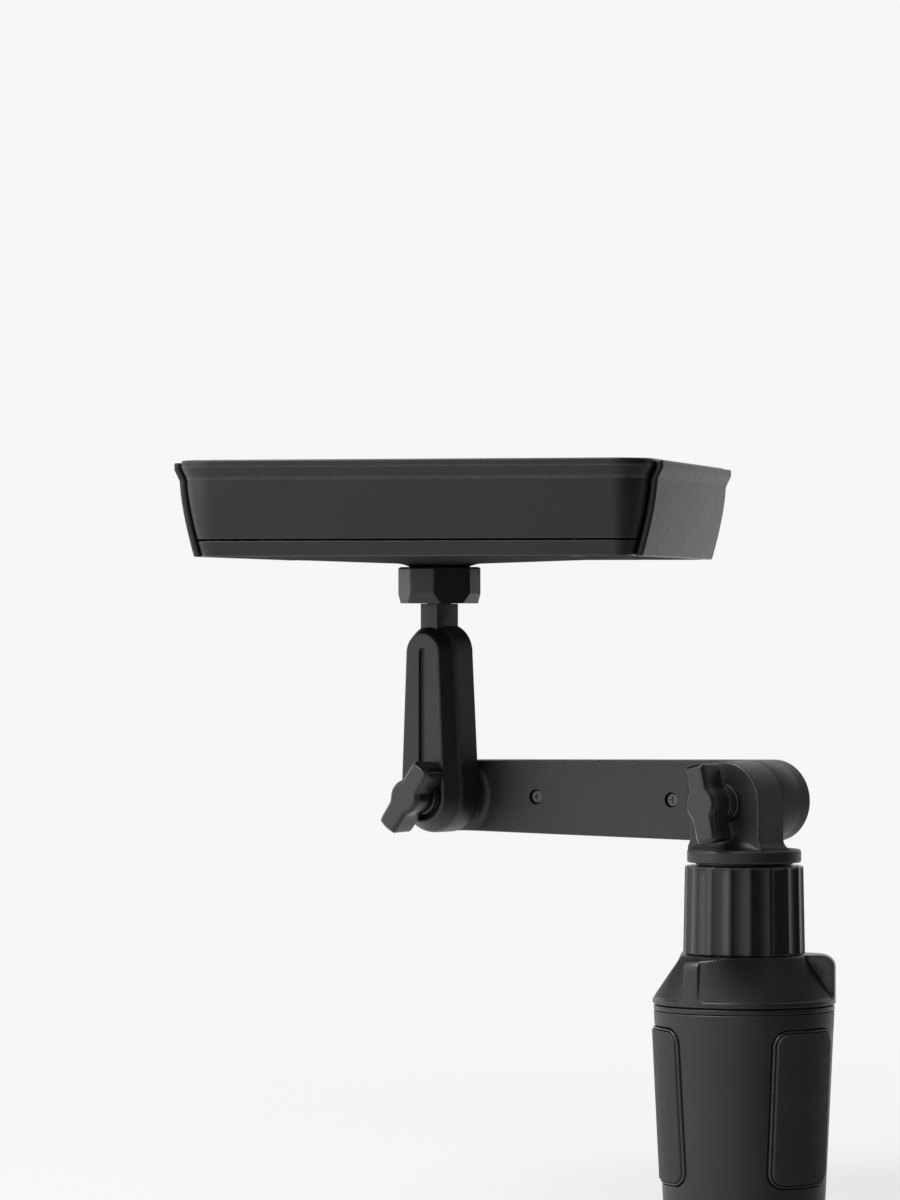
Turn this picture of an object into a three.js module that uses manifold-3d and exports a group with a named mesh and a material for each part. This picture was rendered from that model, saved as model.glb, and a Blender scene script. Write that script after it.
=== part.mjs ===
// Car tray on an expanding cup-holder base, in millimetres.
// +Z is up and the origin is on the base's axis, at its flat bottom face.
// X runs along the tray's front edge to the right, Y from its front to its back.

import * as THREE from 'three';
import { mergeVertices } from 'three/addons/utils/BufferGeometryUtils.js';
import Module from 'manifold-3d';

const wasm = await Module();
wasm.setup();

// Fits between neighbouring pieces
const FIT = 0.3; // seated pieces
const RUN = 0.4; // pieces that turn or slide
const CUT = 1.0; // how far a cutting tool stands past the face it opens

// How finely round shapes are divided
const FINE = 36;
const MEDIUM = 24;
const SMALL = 16;
const TINY = 12;

// Base body, a tapered tube with a deck on top
const BODY_HEIGHT = 80.4;
const BODY_FOOT_R = 28.5;
const BODY_TOP_R = 32.35;
const BODY_WALL = 2.6;
const DECK_T = 3.0;
const FOOT_CHAMFER = 1.2;
const CAP_T = 4.0;
const CAP_SCREW_RING_R = 21.6;
const CAP_BOSS_R = 5.4;
const CAP_BOSS_H = 10.0;
const CAP_BOSS_END = 2.0; // solid end of a screw boss
const CAP_RING_H = 5.0;
const CAP_RING_T = 2.4;

// Jaws, with a pad on each
const JAW_COUNT = 3;
const JAW_FIRST_ANGLE = -34.3;
const JAW_Z0 = 19.0;
const JAW_Z1 = 74.8;
const JAW_W = 29.0;
const JAW_CORNER_R = 5.5;
const JAW_PROUD = 0.5;
const JAW_SHELL = 3.6;
const PAD_MARGIN = 1.0;
const PAD_RECESS = 1.2;
const PAD_PROUD = 0.5;
const WEB_W = 9.0;
const WEB_T = 4.0;
const SPINE_W = 3.0;
const SPINE_INNER_R = 17.0;

// Cam discs that push the jaws out, on a hexagonal sleeve
const CAM_TURN = 100;
const CAM_T = 3.0;
const CAM_PIN_R = 2.0;
const CAM_WEB = 1.0; // left between the sleeve and the slots
const CAM_RIM = 1.15; // left outside the slots
const CAM_SLOT_SAMPLES = 9;
const UPPER_CAM_Z0 = 61.0;
const LOWER_CAM_Z0 = 32.0;
const SLEEVE_FLAT = 8.0; // hexagon centre to flat
const SLEEVE_Z0 = 30.0;
const SLEEVE_GRIP = 5.0; // depth of the sleeve in the dial

// Expander dial
const DIAL_HEIGHT = 19.7;
const DIAL_OVERHANG = 0.45; // dial's edge beyond the body's
const DIAL_SHOULDER = 4.2;
const DIAL_SHOULDER_W = 4.4;
const DIAL_SHELL = 3.0;
const DIAL_LIP_H = 2.4;
const DIAL_GROOVE = 0.8;
const SHOULDER_STEPS = 4;
const SCOOP_COUNT = 3;
const SCOOP_FIRST_ANGLE = -56.3;
const SCOOP_SPAN = 108;
const SCOOP_TOP_R = 22.0;
const SCOOP_FOOT_RISE = 4.0;
const SCOOP_LIP = 0.2; // dial's edge left round a scoop's foot
const SCOOP_START = 0.12; // share of the depth where a scoop begins
const SCOOP_RAMP = 0.5; // share of the span over which it deepens
const SCOOP_STEPS = 9;

// Centre column with a split neck, and the collar that locks it
const COLUMN_R = 5.5;
const NECK_R = 16.0;
const NECK_H = 30.6;
const NECK_FLOOR_H = 8.0;
const NECK_SLIT_W = 1.6;
const NECK_SLIT_FLOOR_H = 15.0;
const SPIGOT_R = 12.0;
const COLLAR_HEIGHT = 31.6;
const COLLAR_TOP_R = 21.25;
const COLLAR_FOOT_R = 21.85;
const COLLAR_FLUTES = 18;
const COLLAR_TURN = -4.0; // angle of the first flute
const FLUTE_R = 6.6;
const FLUTE_DEPTH = 0.9;
const COLLAR_EDGE = 1.6; // plain band above and below the flutes

// Swivel bracket
const STEP_R = 17.4;
const STEP_H = 0.8;
const FLANGE_R = 20.45;
const FLANGE_H = 4.8;
const FLANGE_EDGE = 0.9;
const EAR_R = 14.8;
const EAR_Y0 = -13.1;
const EAR_Y1 = 2.7;
const EAR_FILLET = 4.0;
const EAR_PAD_R = 8.5; // raised ring under the lower knob
const EAR_PAD_H = 1.7;
const LOWER_HINGE_RISE = 16.8; // hinge axis above the flange

// Arm, two half shells with two screws
const ARM_YAW = -23.3;
const ARM_LENGTH = 130.0;
const ARM_T = 18.1;
const ARM_LOWER_R = 14.8;
const ARM_UPPER_R = 13.0;
const ARM_WALL = 2.6;
const ARM_EDGE = 0.7;
const ARM_BACK_T = 6.0; // rear shell
const ARM_SCREW_X = [-33.5, -93.5];
const ARM_SCREW_R = 1.2;
const ARM_SCREW_L = 15.0;
const ARM_SCREW_HEAD_R = 2.2;
const ARM_SCREW_HEAD_T = 1.6;
const ARM_SCREW_SUNK = 1.0;
const ARM_BOSS_R = 4.2;
const ARM_END_SOLID = 22.0; // solid length of the arm about each hinge
const ARM_HUB_R = 13.5; // raised hub behind the upright
const ARM_HUB_FILLET = 3.0;

// Hinge bolts, washers and wing knobs
const BOLT_R = 3.0;
const BOLT_HEAD_R = 6.0;
const BOLT_HEAD_T = 3.0;
const BOLT_HEAD_SUNK = 0.5;
const BOLT_HEAD_EDGE = 1.2;
const BOLT_SHORT = 4.0; // bolt's tip behind the knob's front
const WASHER_R = 7.4;
const WASHER_T = 1.0;
const KNOB_BASE_R = 8.2;
const KNOB_BASE_H = 2.4;
const KNOB_BASE_EDGE = 0.6;
const KNOB_HUB_R = 5.8;
const KNOB_H = 13.0;
const KNOB_EDGE = 0.9;
const KNOB_FRONT_T = 3.2; // left in front of the bolt's hole
const KNOB_SINK = 1.0; // upper knob's foot behind the upright's face
const WING_SPAN = 28.5;
const WING_W = 7.6;
const WING_CORNER = 2.4;
const INSERT_FLAT = 4.0;
const INSERT_T = 4.5;
const LOWER_KNOB_TURN = -11.5;
const UPPER_KNOB_TURN = 36.0;

// Upright with its post
const UPRIGHT_RISE = 53.0; // hinge axis to the centre of the arch
const UPRIGHT_FACE_Y = -17.9;
const UPRIGHT_WIDE_Y = -11.6;
const UPRIGHT_BACK_Y = -0.5;
const UPRIGHT_FOOT_R = 13.5;
const UPRIGHT_ARCH_R = 9.8;
const FACE_FOOT_R = 9.5;
const FACE_ARCH_R = 7.3;
const GROOVE_W = 3.0;
const GROOVE_DEPTH = 3.5;
const GROOVE_END_R = 1.4;
const GROOVE_LOW = 7.0;
const GROOVE_HIGH = 54.8;
const POCKET_W = 11.0;
const POCKET_LOW = 17.0;
const POCKET_HIGH = 39.0;
const POCKET_DEPTH = 9.0;
const POCKET_CORNER = 3.0;
const POST_W = 8.0;
const POST_D = 13.2;
const POST_TOP_RISE = 70.9;
const POST_ROOT_RISE = 44.0;

// Pivot stud under the tray, the nut that holds it and the tray's neck
const STUD_TAIL_R = 2.4;
const STUD_TAIL_L = 18.0;
const STUD_STEM_R = 4.6;
const STUD_HEAD_R = 7.5;
const STUD_HEAD_RISE = 6.4;
const STUD_HEAD_H = 9.2;
const NUT_VERTEX_R = 15.5;
const NUT_FACE_ANGLE = -58.2; // one of the four wide faces
const NUT_CORNER_SPAN = 36; // narrow face between two wide ones, as an angle
const NUT_CORNER = 0.07; // share of each side taken by its rounded corners
const NUT_HEIGHT = 13.5;
const NUT_EDGE = 0.6;
const NUT_CHAMFER_H = 3.5;
const NUT_CHAMFER_IN = 1.9;
const NECK_BOSS_R = 11.1;
const NECK_BOSS_SHOWN = 3.2; // neck seen between the nut and the tray
const NECK_FLARE_R = 13.5;
const NECK_FLARE_H = 0.6;
const DISH_R = 70.0; // shallow cone under the tray
const DISH_H = 2.0;

// Tray
const TRAY_WIDTH = 180.0; // over the wings' end walls
const TRAY_DEPTH = 168.0;
const TRAY_OFFSET_X = 7.5; // tray centre from the pivot
const TRAY_CORNER_R = 14.0;
const TRAY_CORNER_MIN = 3.0;
const TRAY_WALL = 2.4;
const TRAY_FLOOR = 2.0;
const BAND_H = 5.6;
const SHADOW_GAP = 0.7;
const FLARE_Z = 28.1;
const RIM_Z = 32.2;
const TRAY_H = 34.7;
const FLARE_IN = 2.0;
const FOOT_IN = 7.6;
const WALL_BEND = 1.5; // how the wall curves in towards its foot
const WALL_STEPS = 3;
const TRAY_SCREW_IN_X = 28.8;
const TRAY_SCREW_IN_Y = 17.0;
const TRAY_SCREW_R = 1.3;
const TRAY_SCREW_HEAD_R = 2.8;
const TRAY_SCREW_HEAD_T = 1.0;
const TRAY_SCREW_BITE = 0.4; // screw's tip in the tray's floor
const TRAY_BOSS_R = 3.6;

// Cross-head screws
const SCREW_HEAD_T = 1.8;
const CROSS_REACH = 0.6; // of the head's radius
const CROSS_HALF_W = 0.16; // of the cross's reach
const CROSS_DEPTH = 0.55; // of the head's thickness

// Wings that pull out at the tray's ends
const WING_PLATE_T = 2.8;
const WING_PLATE_IN = 13.0; // from the tray's front and back
const WING_DROP = 0.7; // wing rim below the tray rim
const LEAF_IN = 24.0;
const LEAF_T = 2.6;
const LEAF_INNER_X = 10.0;
const RUNNER_W = 2.0;

// Heights and radii that follow
const DIAL_R = BODY_TOP_R + DIAL_OVERHANG;
const DIAL_CROWN_R = DIAL_R - DIAL_SHOULDER_W;
const DIAL_Z0 = BODY_HEIGHT + FIT;
const DIAL_Z1 = DIAL_Z0 + DIAL_HEIGHT;
const NECK_Z0 = DIAL_Z1 + FIT;
const NECK_Z1 = NECK_Z0 + NECK_H;
const COLLAR_Z1 = NECK_Z0 + COLLAR_HEIGHT;
const STEP_Z0 = COLLAR_Z1 + FIT;
const FLANGE_Z0 = STEP_Z0 + STEP_H;
const FLANGE_Z1 = FLANGE_Z0 + FLANGE_H;
const HINGE_Z = FLANGE_Z1 + LOWER_HINGE_RISE;
const BOLT_HOLE_R = BOLT_R + FIT;
const ARM_Y0 = EAR_Y1 + FIT;
const ARM_Y1 = ARM_Y0 + ARM_T;
const ARM_SPLIT_Y = ARM_Y1 - ARM_BACK_T;
const ARM_REAR_SPLIT_Y = ARM_SPLIT_Y + FIT;
const ARM_HUB_Y = UPRIGHT_BACK_Y + FIT;
const LOWER_SEAT_Y = EAR_Y0 - EAR_PAD_H;
const UPPER_SEAT_Y = UPRIGHT_FACE_Y + KNOB_SINK + WASHER_T + 2 * FIT;
const POST_Y = UPRIGHT_BACK_Y - POST_D / 2;
const POST_TOP_Z = HINGE_Z + POST_TOP_RISE;
const STUD_Z0 = POST_TOP_Z + FIT;
const STUD_HEAD_Z0 = STUD_Z0 + STUD_HEAD_RISE;
const STUD_HEAD_Z1 = STUD_HEAD_Z0 + STUD_HEAD_H;
const NUT_Z0 = POST_TOP_Z + RUN;
const NUT_Z1 = NUT_Z0 + NUT_HEIGHT;
const TRAY_Z = NUT_Z1 + NECK_BOSS_SHOWN;
const JAW_MID_Z = (JAW_Z0 + JAW_Z1) / 2;
const JAW_CUT_R = BODY_TOP_R + JAW_PROUD + PAD_PROUD + CUT;
const WINDOW_CUT_R = BODY_FOOT_R / 2;
const SLEEVE_VERTEX_R = SLEEVE_FLAT / Math.cos(Math.PI / 6);
const CAM_SLOT_HALF = CAM_PIN_R + RUN;
const CAM_R = bodyRadius(LOWER_CAM_Z0) - JAW_SHELL - RUN;
const CAM_PIN_RING_R = (SLEEVE_FLAT + FIT) / Math.cos(Math.PI / 6) + CAM_WEB + CAM_SLOT_HALF;
const JAW_TRAVEL = CAM_R - CAM_RIM - CAM_SLOT_HALF - CAM_PIN_RING_R;
const UPPER_WEB_Z0 = UPPER_CAM_Z0 - FIT - WEB_T;
const LOWER_WEB_Z0 = LOWER_CAM_Z0 + CAM_T + FIT;
const SLEEVE_BORE_R = COLUMN_R + RUN;
const TOP_SHELL_Z0 = BAND_H + SHADOW_GAP;
const TOP_FLOOR_Z1 = TOP_SHELL_Z0 + TRAY_FLOOR;
const LEAF_Z1 = TOP_SHELL_Z0 - RUN;
const LEAF_Z0 = LEAF_Z1 - LEAF_T;
const SHELL_HALF_X = TRAY_WIDTH / 2 - WING_PLATE_T - RUN;
const SHELL_HALF_Y = TRAY_DEPTH / 2;
const TRAY_SCREW_X = SHELL_HALF_X - TRAY_SCREW_IN_X;
const TRAY_SCREW_Y = SHELL_HALF_Y - TRAY_SCREW_IN_Y;
const WING_PLATE_HALF = SHELL_HALF_Y - WING_PLATE_IN;
const LEAF_HALF = SHELL_HALF_Y - LEAF_IN;
const RUNNER_Y = LEAF_HALF * 2 / 3;

const radians = THREE.MathUtils.degToRad;

// Outer radius of the base body at a height
function bodyRadius(z) {
  return BODY_FOOT_R + (BODY_TOP_R - BODY_FOOT_R) * z / BODY_HEIGHT;
}

// How far the tray's wall stands in from its rim at a height above its foot:
// upright at the rim, slanting in the flare, then curving in to the foot
function trayInset(z) {
  if (z >= RIM_Z) return 0;
  if (z >= FLARE_Z) return FLARE_IN * (RIM_Z - z) / (RIM_Z - FLARE_Z);
  return FLARE_IN + (FOOT_IN - FLARE_IN) * ((FLARE_Z - z) / FLARE_Z) ** WALL_BEND;
}

// A closed geometry as a solid, with its faces turned outward
function solid(geometry) {
  const bare = geometry.index ? geometry.toNonIndexed() : geometry.clone();
  bare.deleteAttribute('normal');
  bare.deleteAttribute('uv');
  const merged = mergeVertices(bare, 1e-4);
  const point = merged.attributes.position.array;
  const index = merged.index.array;
  const faces = [];
  let volume = 0;
  const a = new THREE.Vector3();
  const b = new THREE.Vector3();
  const c = new THREE.Vector3();
  for (let i = 0; i < index.length; i += 3) {
    const [p, q, r] = [index[i], index[i + 1], index[i + 2]];
    if (p === q || q === r || r === p) continue;
    faces.push([p, q, r]);
    a.fromArray(point, 3 * p);
    b.fromArray(point, 3 * q);
    c.fromArray(point, 3 * r);
    volume += a.dot(b.cross(c));
  }
  const outward = volume < 0 ? faces.map(([p, q, r]) => [p, r, q]) : faces;
  const triVerts = new Uint32Array(outward.flat());
  const vertProperties = new Float32Array(point);
  return new wasm.Manifold(new wasm.Mesh({ numProp: 3, vertProperties, triVerts }));
}

// Solid turned about the Z direction through (x, 0), from [radius, z] corners
function turned(profile, segments = MEDIUM, x = 0) {
  const corners = profile.map(([r, z]) => new THREE.Vector2(r, z));
  if (profile[0][0] > 0) corners.push(corners[0].clone());
  return solid(new THREE.LatheGeometry(corners, segments).rotateX(Math.PI / 2).translate(x, 0, 0));
}

// Solid turned about the Y direction through (x, z), from [radius, y] corners
function turnedY(profile, x, z, segments = MEDIUM) {
  const corners = profile.map(([r, y]) => new THREE.Vector2(r, y));
  if (profile[0][0] > 0) corners.push(corners[0].clone());
  return solid(new THREE.LatheGeometry(corners, segments).translate(x, 0, z));
}

// Upright round pin
function pinZ(radius, z0, z1, x = 0, y = 0, segments = SMALL) {
  const pin = new THREE.CylinderGeometry(radius, radius, z1 - z0, segments);
  return solid(pin.rotateX(Math.PI / 2).translate(x, y, (z0 + z1) / 2));
}

// Round pin along Y
function pinY(radius, y0, y1, x, z, segments = SMALL) {
  const pin = new THREE.CylinderGeometry(radius, radius, y1 - y0, segments);
  return solid(pin.translate(x, (y0 + y1) / 2, z));
}

// Box between two corners
function block(x0, x1, y0, y1, z0, z1) {
  const box = new THREE.BoxGeometry(x1 - x0, y1 - y0, z1 - z0);
  return solid(box.translate((x0 + x1) / 2, (y0 + y1) / 2, (z0 + z1) / 2));
}

// Flat outline raised from z0 to z1
function prismZ(shape, z0, z1, segments = 4) {
  const options = { depth: z1 - z0, bevelEnabled: false, curveSegments: segments };
  return solid(new THREE.ExtrudeGeometry(shape, options).translate(0, 0, z0));
}

// Outline in the (x, z) plane carried along Y from y0 to y1
function prismY(shape, y0, y1, x, z, segments = 4) {
  const options = { depth: y1 - y0, bevelEnabled: false, curveSegments: segments };
  const prism = new THREE.ExtrudeGeometry(shape, options).rotateX(Math.PI / 2);
  return solid(prism.translate(x, y1, z));
}

// Outline in the (y, z) plane carried along X from x0 to x1, then turned about Z
function prismX(shape, x0, x1, z, turn, segments = 3) {
  const options = { depth: x1 - x0, bevelEnabled: false, curveSegments: segments };
  const prism = new THREE.ExtrudeGeometry(shape, options).rotateX(Math.PI / 2).rotateZ(Math.PI / 2);
  return solid(prism.translate(x0, 0, z).rotateZ(radians(turn)));
}

// Closed solid through rings of equally many points, capped flat at both ends
function skin(rings, flatten) {
  const count = rings[0].length;
  const point = rings.flat();
  const faces = [];
  for (let k = 0; k + 1 < rings.length; k += 1) {
    for (let i = 0; i < count; i += 1) {
      const j = (i + 1) % count;
      const [p, q, r, s] = [k * count + i, k * count + j, (k + 1) * count + j, (k + 1) * count + i];
      faces.push([p, q, r], [p, r, s]);
    }
  }
  const last = (rings.length - 1) * count;
  const cap = THREE.ShapeUtils.triangulateShape(rings[0].map(flatten), []);
  const ahead = THREE.ShapeUtils.isClockWise(rings[0].map(flatten));
  for (const [p, q, r] of cap) {
    faces.push(ahead ? [p, q, r] : [p, r, q]);
  }
  const end = THREE.ShapeUtils.triangulateShape(rings[rings.length - 1].map(flatten), []);
  for (const [p, q, r] of end) {
    faces.push(ahead ? [last + p, last + r, last + q] : [last + p, last + q, last + r]);
  }
  const geometry = new THREE.BufferGeometry().setFromPoints(point);
  geometry.setIndex(faces.flat());
  return solid(geometry);
}

// Rectangle with round corners, centred on the origin
function roundedRect(width, height, radius) {
  const [x, y] = [width / 2 - radius, height / 2 - radius];
  const shape = new THREE.Shape();
  shape.absarc(x, y, radius, 0, Math.PI / 2, false);
  shape.absarc(-x, y, radius, Math.PI / 2, Math.PI, false);
  shape.absarc(-x, -y, radius, Math.PI, Math.PI * 1.5, false);
  shape.absarc(x, -y, radius, Math.PI * 1.5, Math.PI * 2, false);
  shape.closePath();
  return shape;
}

// Outline round two circles, the first at the origin and the second along -x
function linkShape(firstR, secondR, length) {
  const tangent = Math.acos((firstR - secondR) / length);
  const shape = new THREE.Shape();
  shape.absarc(0, 0, firstR, -tangent, tangent, false);
  shape.absarc(-length, 0, secondR, tangent, 2 * Math.PI - tangent, false);
  shape.closePath();
  return shape;
}

// Regular polygon by its distance from centre to flat
function regularShape(sides, flat) {
  const corners = [];
  for (let i = 0; i < sides; i += 1) {
    const angle = 2 * Math.PI * i / sides;
    const reach = flat / Math.cos(Math.PI / sides);
    corners.push(new THREE.Vector2(reach * Math.cos(angle), reach * Math.sin(angle)));
  }
  return new THREE.Shape(corners);
}

// Driver's cross in a screw's head
function crossRecess(size, depth) {
  const half = size * CROSS_HALF_W;
  const bar = new THREE.BoxGeometry(2 * size, 2 * half, 2 * depth);
  const other = new THREE.BoxGeometry(2 * half, 2 * size, 2 * depth);
  return solid(bar).add(solid(other));
}

const plastic = { color: 0x1b1b1d, roughness: 0.5, metalness: 0.0 };
const satin = { color: 0x202023, roughness: 0.45, metalness: 0.0 };
const rubber = { color: 0x161617, roughness: 0.85, metalness: 0.0 };
const steel = { color: 0x55575b, roughness: 0.35, metalness: 0.9 };
const brass = { color: 0xa58a4e, roughness: 0.35, metalness: 0.9 };
const inner = { color: 0x2a2a2d, roughness: 0.55, metalness: 0.0 };

const object = new THREE.Group();
object.name = 'car_tray';

// Named mesh of a solid in a group
function piece(name, shape, look, group) {
  const mesh = shape.getMesh();
  const geometry = new THREE.BufferGeometry();
  geometry.setAttribute('position', new THREE.BufferAttribute(new Float32Array(mesh.vertProperties), 3));
  geometry.setIndex(new THREE.BufferAttribute(new Uint32Array(mesh.triVerts), 1));
  geometry.computeVertexNormals();
  const made = new THREE.Mesh(geometry, new THREE.MeshStandardMaterial(look));
  made.name = name;
  group.add(made);
  return made;
}

const base = new THREE.Group();
object.add(base);

// Angle of each jaw, and of each cap screw between two jaws
const jawAngles = [];
for (let i = 0; i < JAW_COUNT; i += 1) {
  jawAngles.push(JAW_FIRST_ANGLE + 360 * i / JAW_COUNT);
}
const capScrewAngles = jawAngles.map((angle) => angle + 180 / JAW_COUNT);

// Point on a circle about the base axis
function onCircle(radius, angle) {
  return [radius * Math.cos(radians(angle)), radius * Math.sin(radians(angle))];
}

// Outline of a jaw seen from outside, grown by a margin
function jawOutline(grow) {
  const height = JAW_Z1 - JAW_Z0;
  return roundedRect(JAW_W + 2 * grow, height + 2 * grow, JAW_CORNER_R + grow);
}

// Base body: tapered wall, deck on top, bosses for the cap screws, three windows
function baseBody() {
  const inside = (z) => bodyRadius(z) - BODY_WALL;
  const deckZ = BODY_HEIGHT - DECK_T;
  let body = turned([
    [inside(0), 0],
    [bodyRadius(0) - FOOT_CHAMFER, 0],
    [bodyRadius(FOOT_CHAMFER), FOOT_CHAMFER],
    [BODY_TOP_R, BODY_HEIGHT],
    [SLEEVE_VERTEX_R + RUN, BODY_HEIGHT],
    [SLEEVE_VERTEX_R + RUN, deckZ],
    [inside(deckZ), deckZ],
  ], FINE);
  for (const angle of capScrewAngles) {
    const [x, y] = onCircle(CAP_SCREW_RING_R, angle);
    const bossZ = CAP_T + FIT;
    body = body.add(pinZ(CAP_BOSS_R, bossZ, bossZ + CAP_BOSS_H, x, y, SMALL));
    const holeZ = bossZ + CAP_BOSS_H - CAP_BOSS_END;
    body = body.subtract(pinZ(TRAY_SCREW_R + FIT, bossZ - CUT, holeZ, x, y, TINY));
  }
  for (const angle of jawAngles) {
    body = body.subtract(prismX(jawOutline(RUN), WINDOW_CUT_R, JAW_CUT_R, JAW_MID_Z, angle));
  }
  return body;
}
piece('base_body', baseBody(), plastic, base);

// Screw with a flat head at the bottom and its shank upward
function screwUp(headR, shankR, headT, length) {
  const screw = turned([
    [0, 0],
    [headR, 0],
    [headR, headT],
    [shankR, headT],
    [shankR, length],
    [0, length],
  ], TINY);
  return screw.subtract(crossRecess(headR * CROSS_REACH, headT * CROSS_DEPTH));
}

// Bottom cap: disc with a locating ring for the column and sunk screw holes
function bottomCap() {
  const capR = BODY_FOOT_R - BODY_WALL - FIT;
  const ringR = COLUMN_R + FIT;
  let cap = turned([
    [0, 0],
    [capR, 0],
    [capR, CAP_T],
    [ringR + CAP_RING_T, CAP_T],
    [ringR + CAP_RING_T, CAP_T + CAP_RING_H],
    [ringR, CAP_T + CAP_RING_H],
    [ringR, CAP_T],
    [0, CAP_T],
  ], MEDIUM);
  for (const angle of capScrewAngles) {
    const [x, y] = onCircle(CAP_SCREW_RING_R, angle);
    cap = cap.subtract(pinZ(TRAY_SCREW_R + FIT, -CUT, CAP_T + CUT, x, y, TINY));
    cap = cap.subtract(pinZ(TRAY_SCREW_HEAD_R + FIT, -CUT, SCREW_HEAD_T + 2 * FIT, x, y, TINY));
  }
  return cap;
}
piece('base_bottom_cap', bottomCap(), plastic, base);

capScrewAngles.forEach((angle, i) => {
  const [x, y] = onCircle(CAP_SCREW_RING_R, angle);
  const spot = new THREE.Group();
  spot.position.set(x, y, FIT);
  base.add(spot);
  const length = CAP_T + CAP_BOSS_H - CAP_BOSS_END - CUT;
  const screw = screwUp(TRAY_SCREW_HEAD_R, TRAY_SCREW_R, SCREW_HEAD_T, length);
  piece(`cap_screw_${i + 1}`, screw, steel, spot);
});

// Centre column: shaft, and a split neck that the collar closes on the spigot
function centerColumn() {
  const footZ = CAP_T + FIT;
  let column = turned([
    [0, footZ],
    [COLUMN_R, footZ],
    [COLUMN_R, NECK_Z0],
    [NECK_R, NECK_Z0],
    [NECK_R, NECK_Z1],
    [SPIGOT_R + FIT, NECK_Z1],
    [SPIGOT_R + FIT, NECK_Z0 + NECK_FLOOR_H],
    [0, NECK_Z0 + NECK_FLOOR_H],
  ], MEDIUM);
  const reach = NECK_R + CUT;
  const slitZ = NECK_Z0 + NECK_SLIT_FLOOR_H;
  const half = NECK_SLIT_W / 2;
  column = column.subtract(block(-reach, reach, -half, half, slitZ, NECK_Z1 + CUT));
  column = column.subtract(block(-half, half, -reach, reach, slitZ, NECK_Z1 + CUT));
  return column;
}
piece('center_column', centerColumn(), inner, base);

// Drive sleeve: hexagonal tube that turns on the column
function driveSleeve() {
  const sleeve = prismZ(regularShape(6, SLEEVE_FLAT), SLEEVE_Z0, DIAL_Z0 + SLEEVE_GRIP);
  return sleeve.subtract(pinZ(SLEEVE_BORE_R, 0, DIAL_Z1, 0, 0, MEDIUM));
}
piece('drive_sleeve', driveSleeve(), inner, base);

// Spiral slot: radius grows evenly as the disc turns
function spiralSlot(start) {
  const left = [];
  const right = [];
  const overrun = CAM_SLOT_HALF;
  for (let i = 0; i <= CAM_SLOT_SAMPLES; i += 1) {
    const share = i / CAM_SLOT_SAMPLES;
    const angle = radians(start - CAM_TURN * share);
    const radius = CAM_PIN_RING_R + JAW_TRAVEL * share;
    const centre = new THREE.Vector2(radius * Math.cos(angle), radius * Math.sin(angle));
    const sweep = JAW_TRAVEL / radians(CAM_TURN);
    const ahead = new THREE.Vector2(
      radius * Math.sin(angle) + sweep * Math.cos(angle),
      -radius * Math.cos(angle) + sweep * Math.sin(angle),
    ).normalize();
    if (i === 0) centre.addScaledVector(ahead, -overrun);
    if (i === CAM_SLOT_SAMPLES) centre.addScaledVector(ahead, overrun);
    const side = new THREE.Vector2(-ahead.y, ahead.x).multiplyScalar(CAM_SLOT_HALF);
    left.push(centre.clone().add(side));
    right.unshift(centre.clone().sub(side));
  }
  return new THREE.Path([...left, ...right]);
}

// Cam disc: hexagonal bore and one spiral slot for each jaw's pin
function camDisc(z0) {
  let disc = pinZ(CAM_R, z0, z0 + CAM_T, 0, 0, FINE);
  disc = disc.subtract(prismZ(regularShape(6, SLEEVE_FLAT + FIT), z0 - CUT, z0 + CAM_T + CUT));
  for (const angle of jawAngles) {
    const slot = new THREE.Shape(spiralSlot(angle).getPoints());
    disc = disc.subtract(prismZ(slot, z0 - CUT, z0 + CAM_T + CUT));
  }
  return disc;
}
piece('upper_cam', camDisc(UPPER_CAM_Z0), inner, base);
piece('lower_cam', camDisc(LOWER_CAM_Z0), inner, base);

// Wall that follows the base body's taper between two offsets from its outside
function taperedRing(inset, proud) {
  const [z0, z1] = [JAW_Z0 - CUT, JAW_Z1 + CUT];
  return turned([
    [bodyRadius(z0) - inset, z0],
    [bodyRadius(z0) + proud, z0],
    [bodyRadius(z1) + proud, z1],
    [bodyRadius(z1) - inset, z1],
  ], 2 * MEDIUM);
}

// Jaw pointing along +X: curved shell, two webs with a pin each, and a spine
function jaw() {
  let shell = taperedRing(JAW_SHELL, JAW_PROUD);
  shell = shell.intersect(prismX(jawOutline(0), WINDOW_CUT_R, JAW_CUT_R, JAW_MID_Z, 0));
  const seat = taperedRing(PAD_RECESS - JAW_PROUD, JAW_PROUD + CUT);
  const seatArea = prismX(jawOutline(FIT - PAD_MARGIN), WINDOW_CUT_R, JAW_CUT_R, JAW_MID_Z, 0);
  shell = shell.subtract(seat.intersect(seatArea));
  const webInner = SLEEVE_VERTEX_R + 2 * RUN;
  const half = WEB_W / 2;
  const joinZ = UPPER_WEB_Z0 + WEB_T;
  let back = block(webInner, BODY_TOP_R, -half, half, UPPER_WEB_Z0, joinZ);
  back = back.add(block(webInner, BODY_TOP_R, -half, half, LOWER_WEB_Z0, LOWER_WEB_Z0 + WEB_T));
  back = back.add(block(SPINE_INNER_R, BODY_TOP_R, -SPINE_W / 2, SPINE_W / 2, LOWER_WEB_Z0, joinZ));
  back = back.intersect(turned([
    [0, JAW_Z0],
    [bodyRadius(JAW_Z0) - JAW_SHELL / 2, JAW_Z0],
    [bodyRadius(JAW_Z1) - JAW_SHELL / 2, JAW_Z1],
    [0, JAW_Z1],
  ], 2 * MEDIUM));
  const upperTip = UPPER_CAM_Z0 + CAM_T + FIT;
  back = back.add(pinZ(CAM_PIN_R, joinZ - CUT, upperTip, CAM_PIN_RING_R, 0, TINY));
  const lowerTip = LOWER_CAM_Z0 - FIT;
  back = back.add(pinZ(CAM_PIN_R, lowerTip, LOWER_WEB_Z0 + CUT, CAM_PIN_RING_R, 0, TINY));
  return shell.add(back);
}

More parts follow.
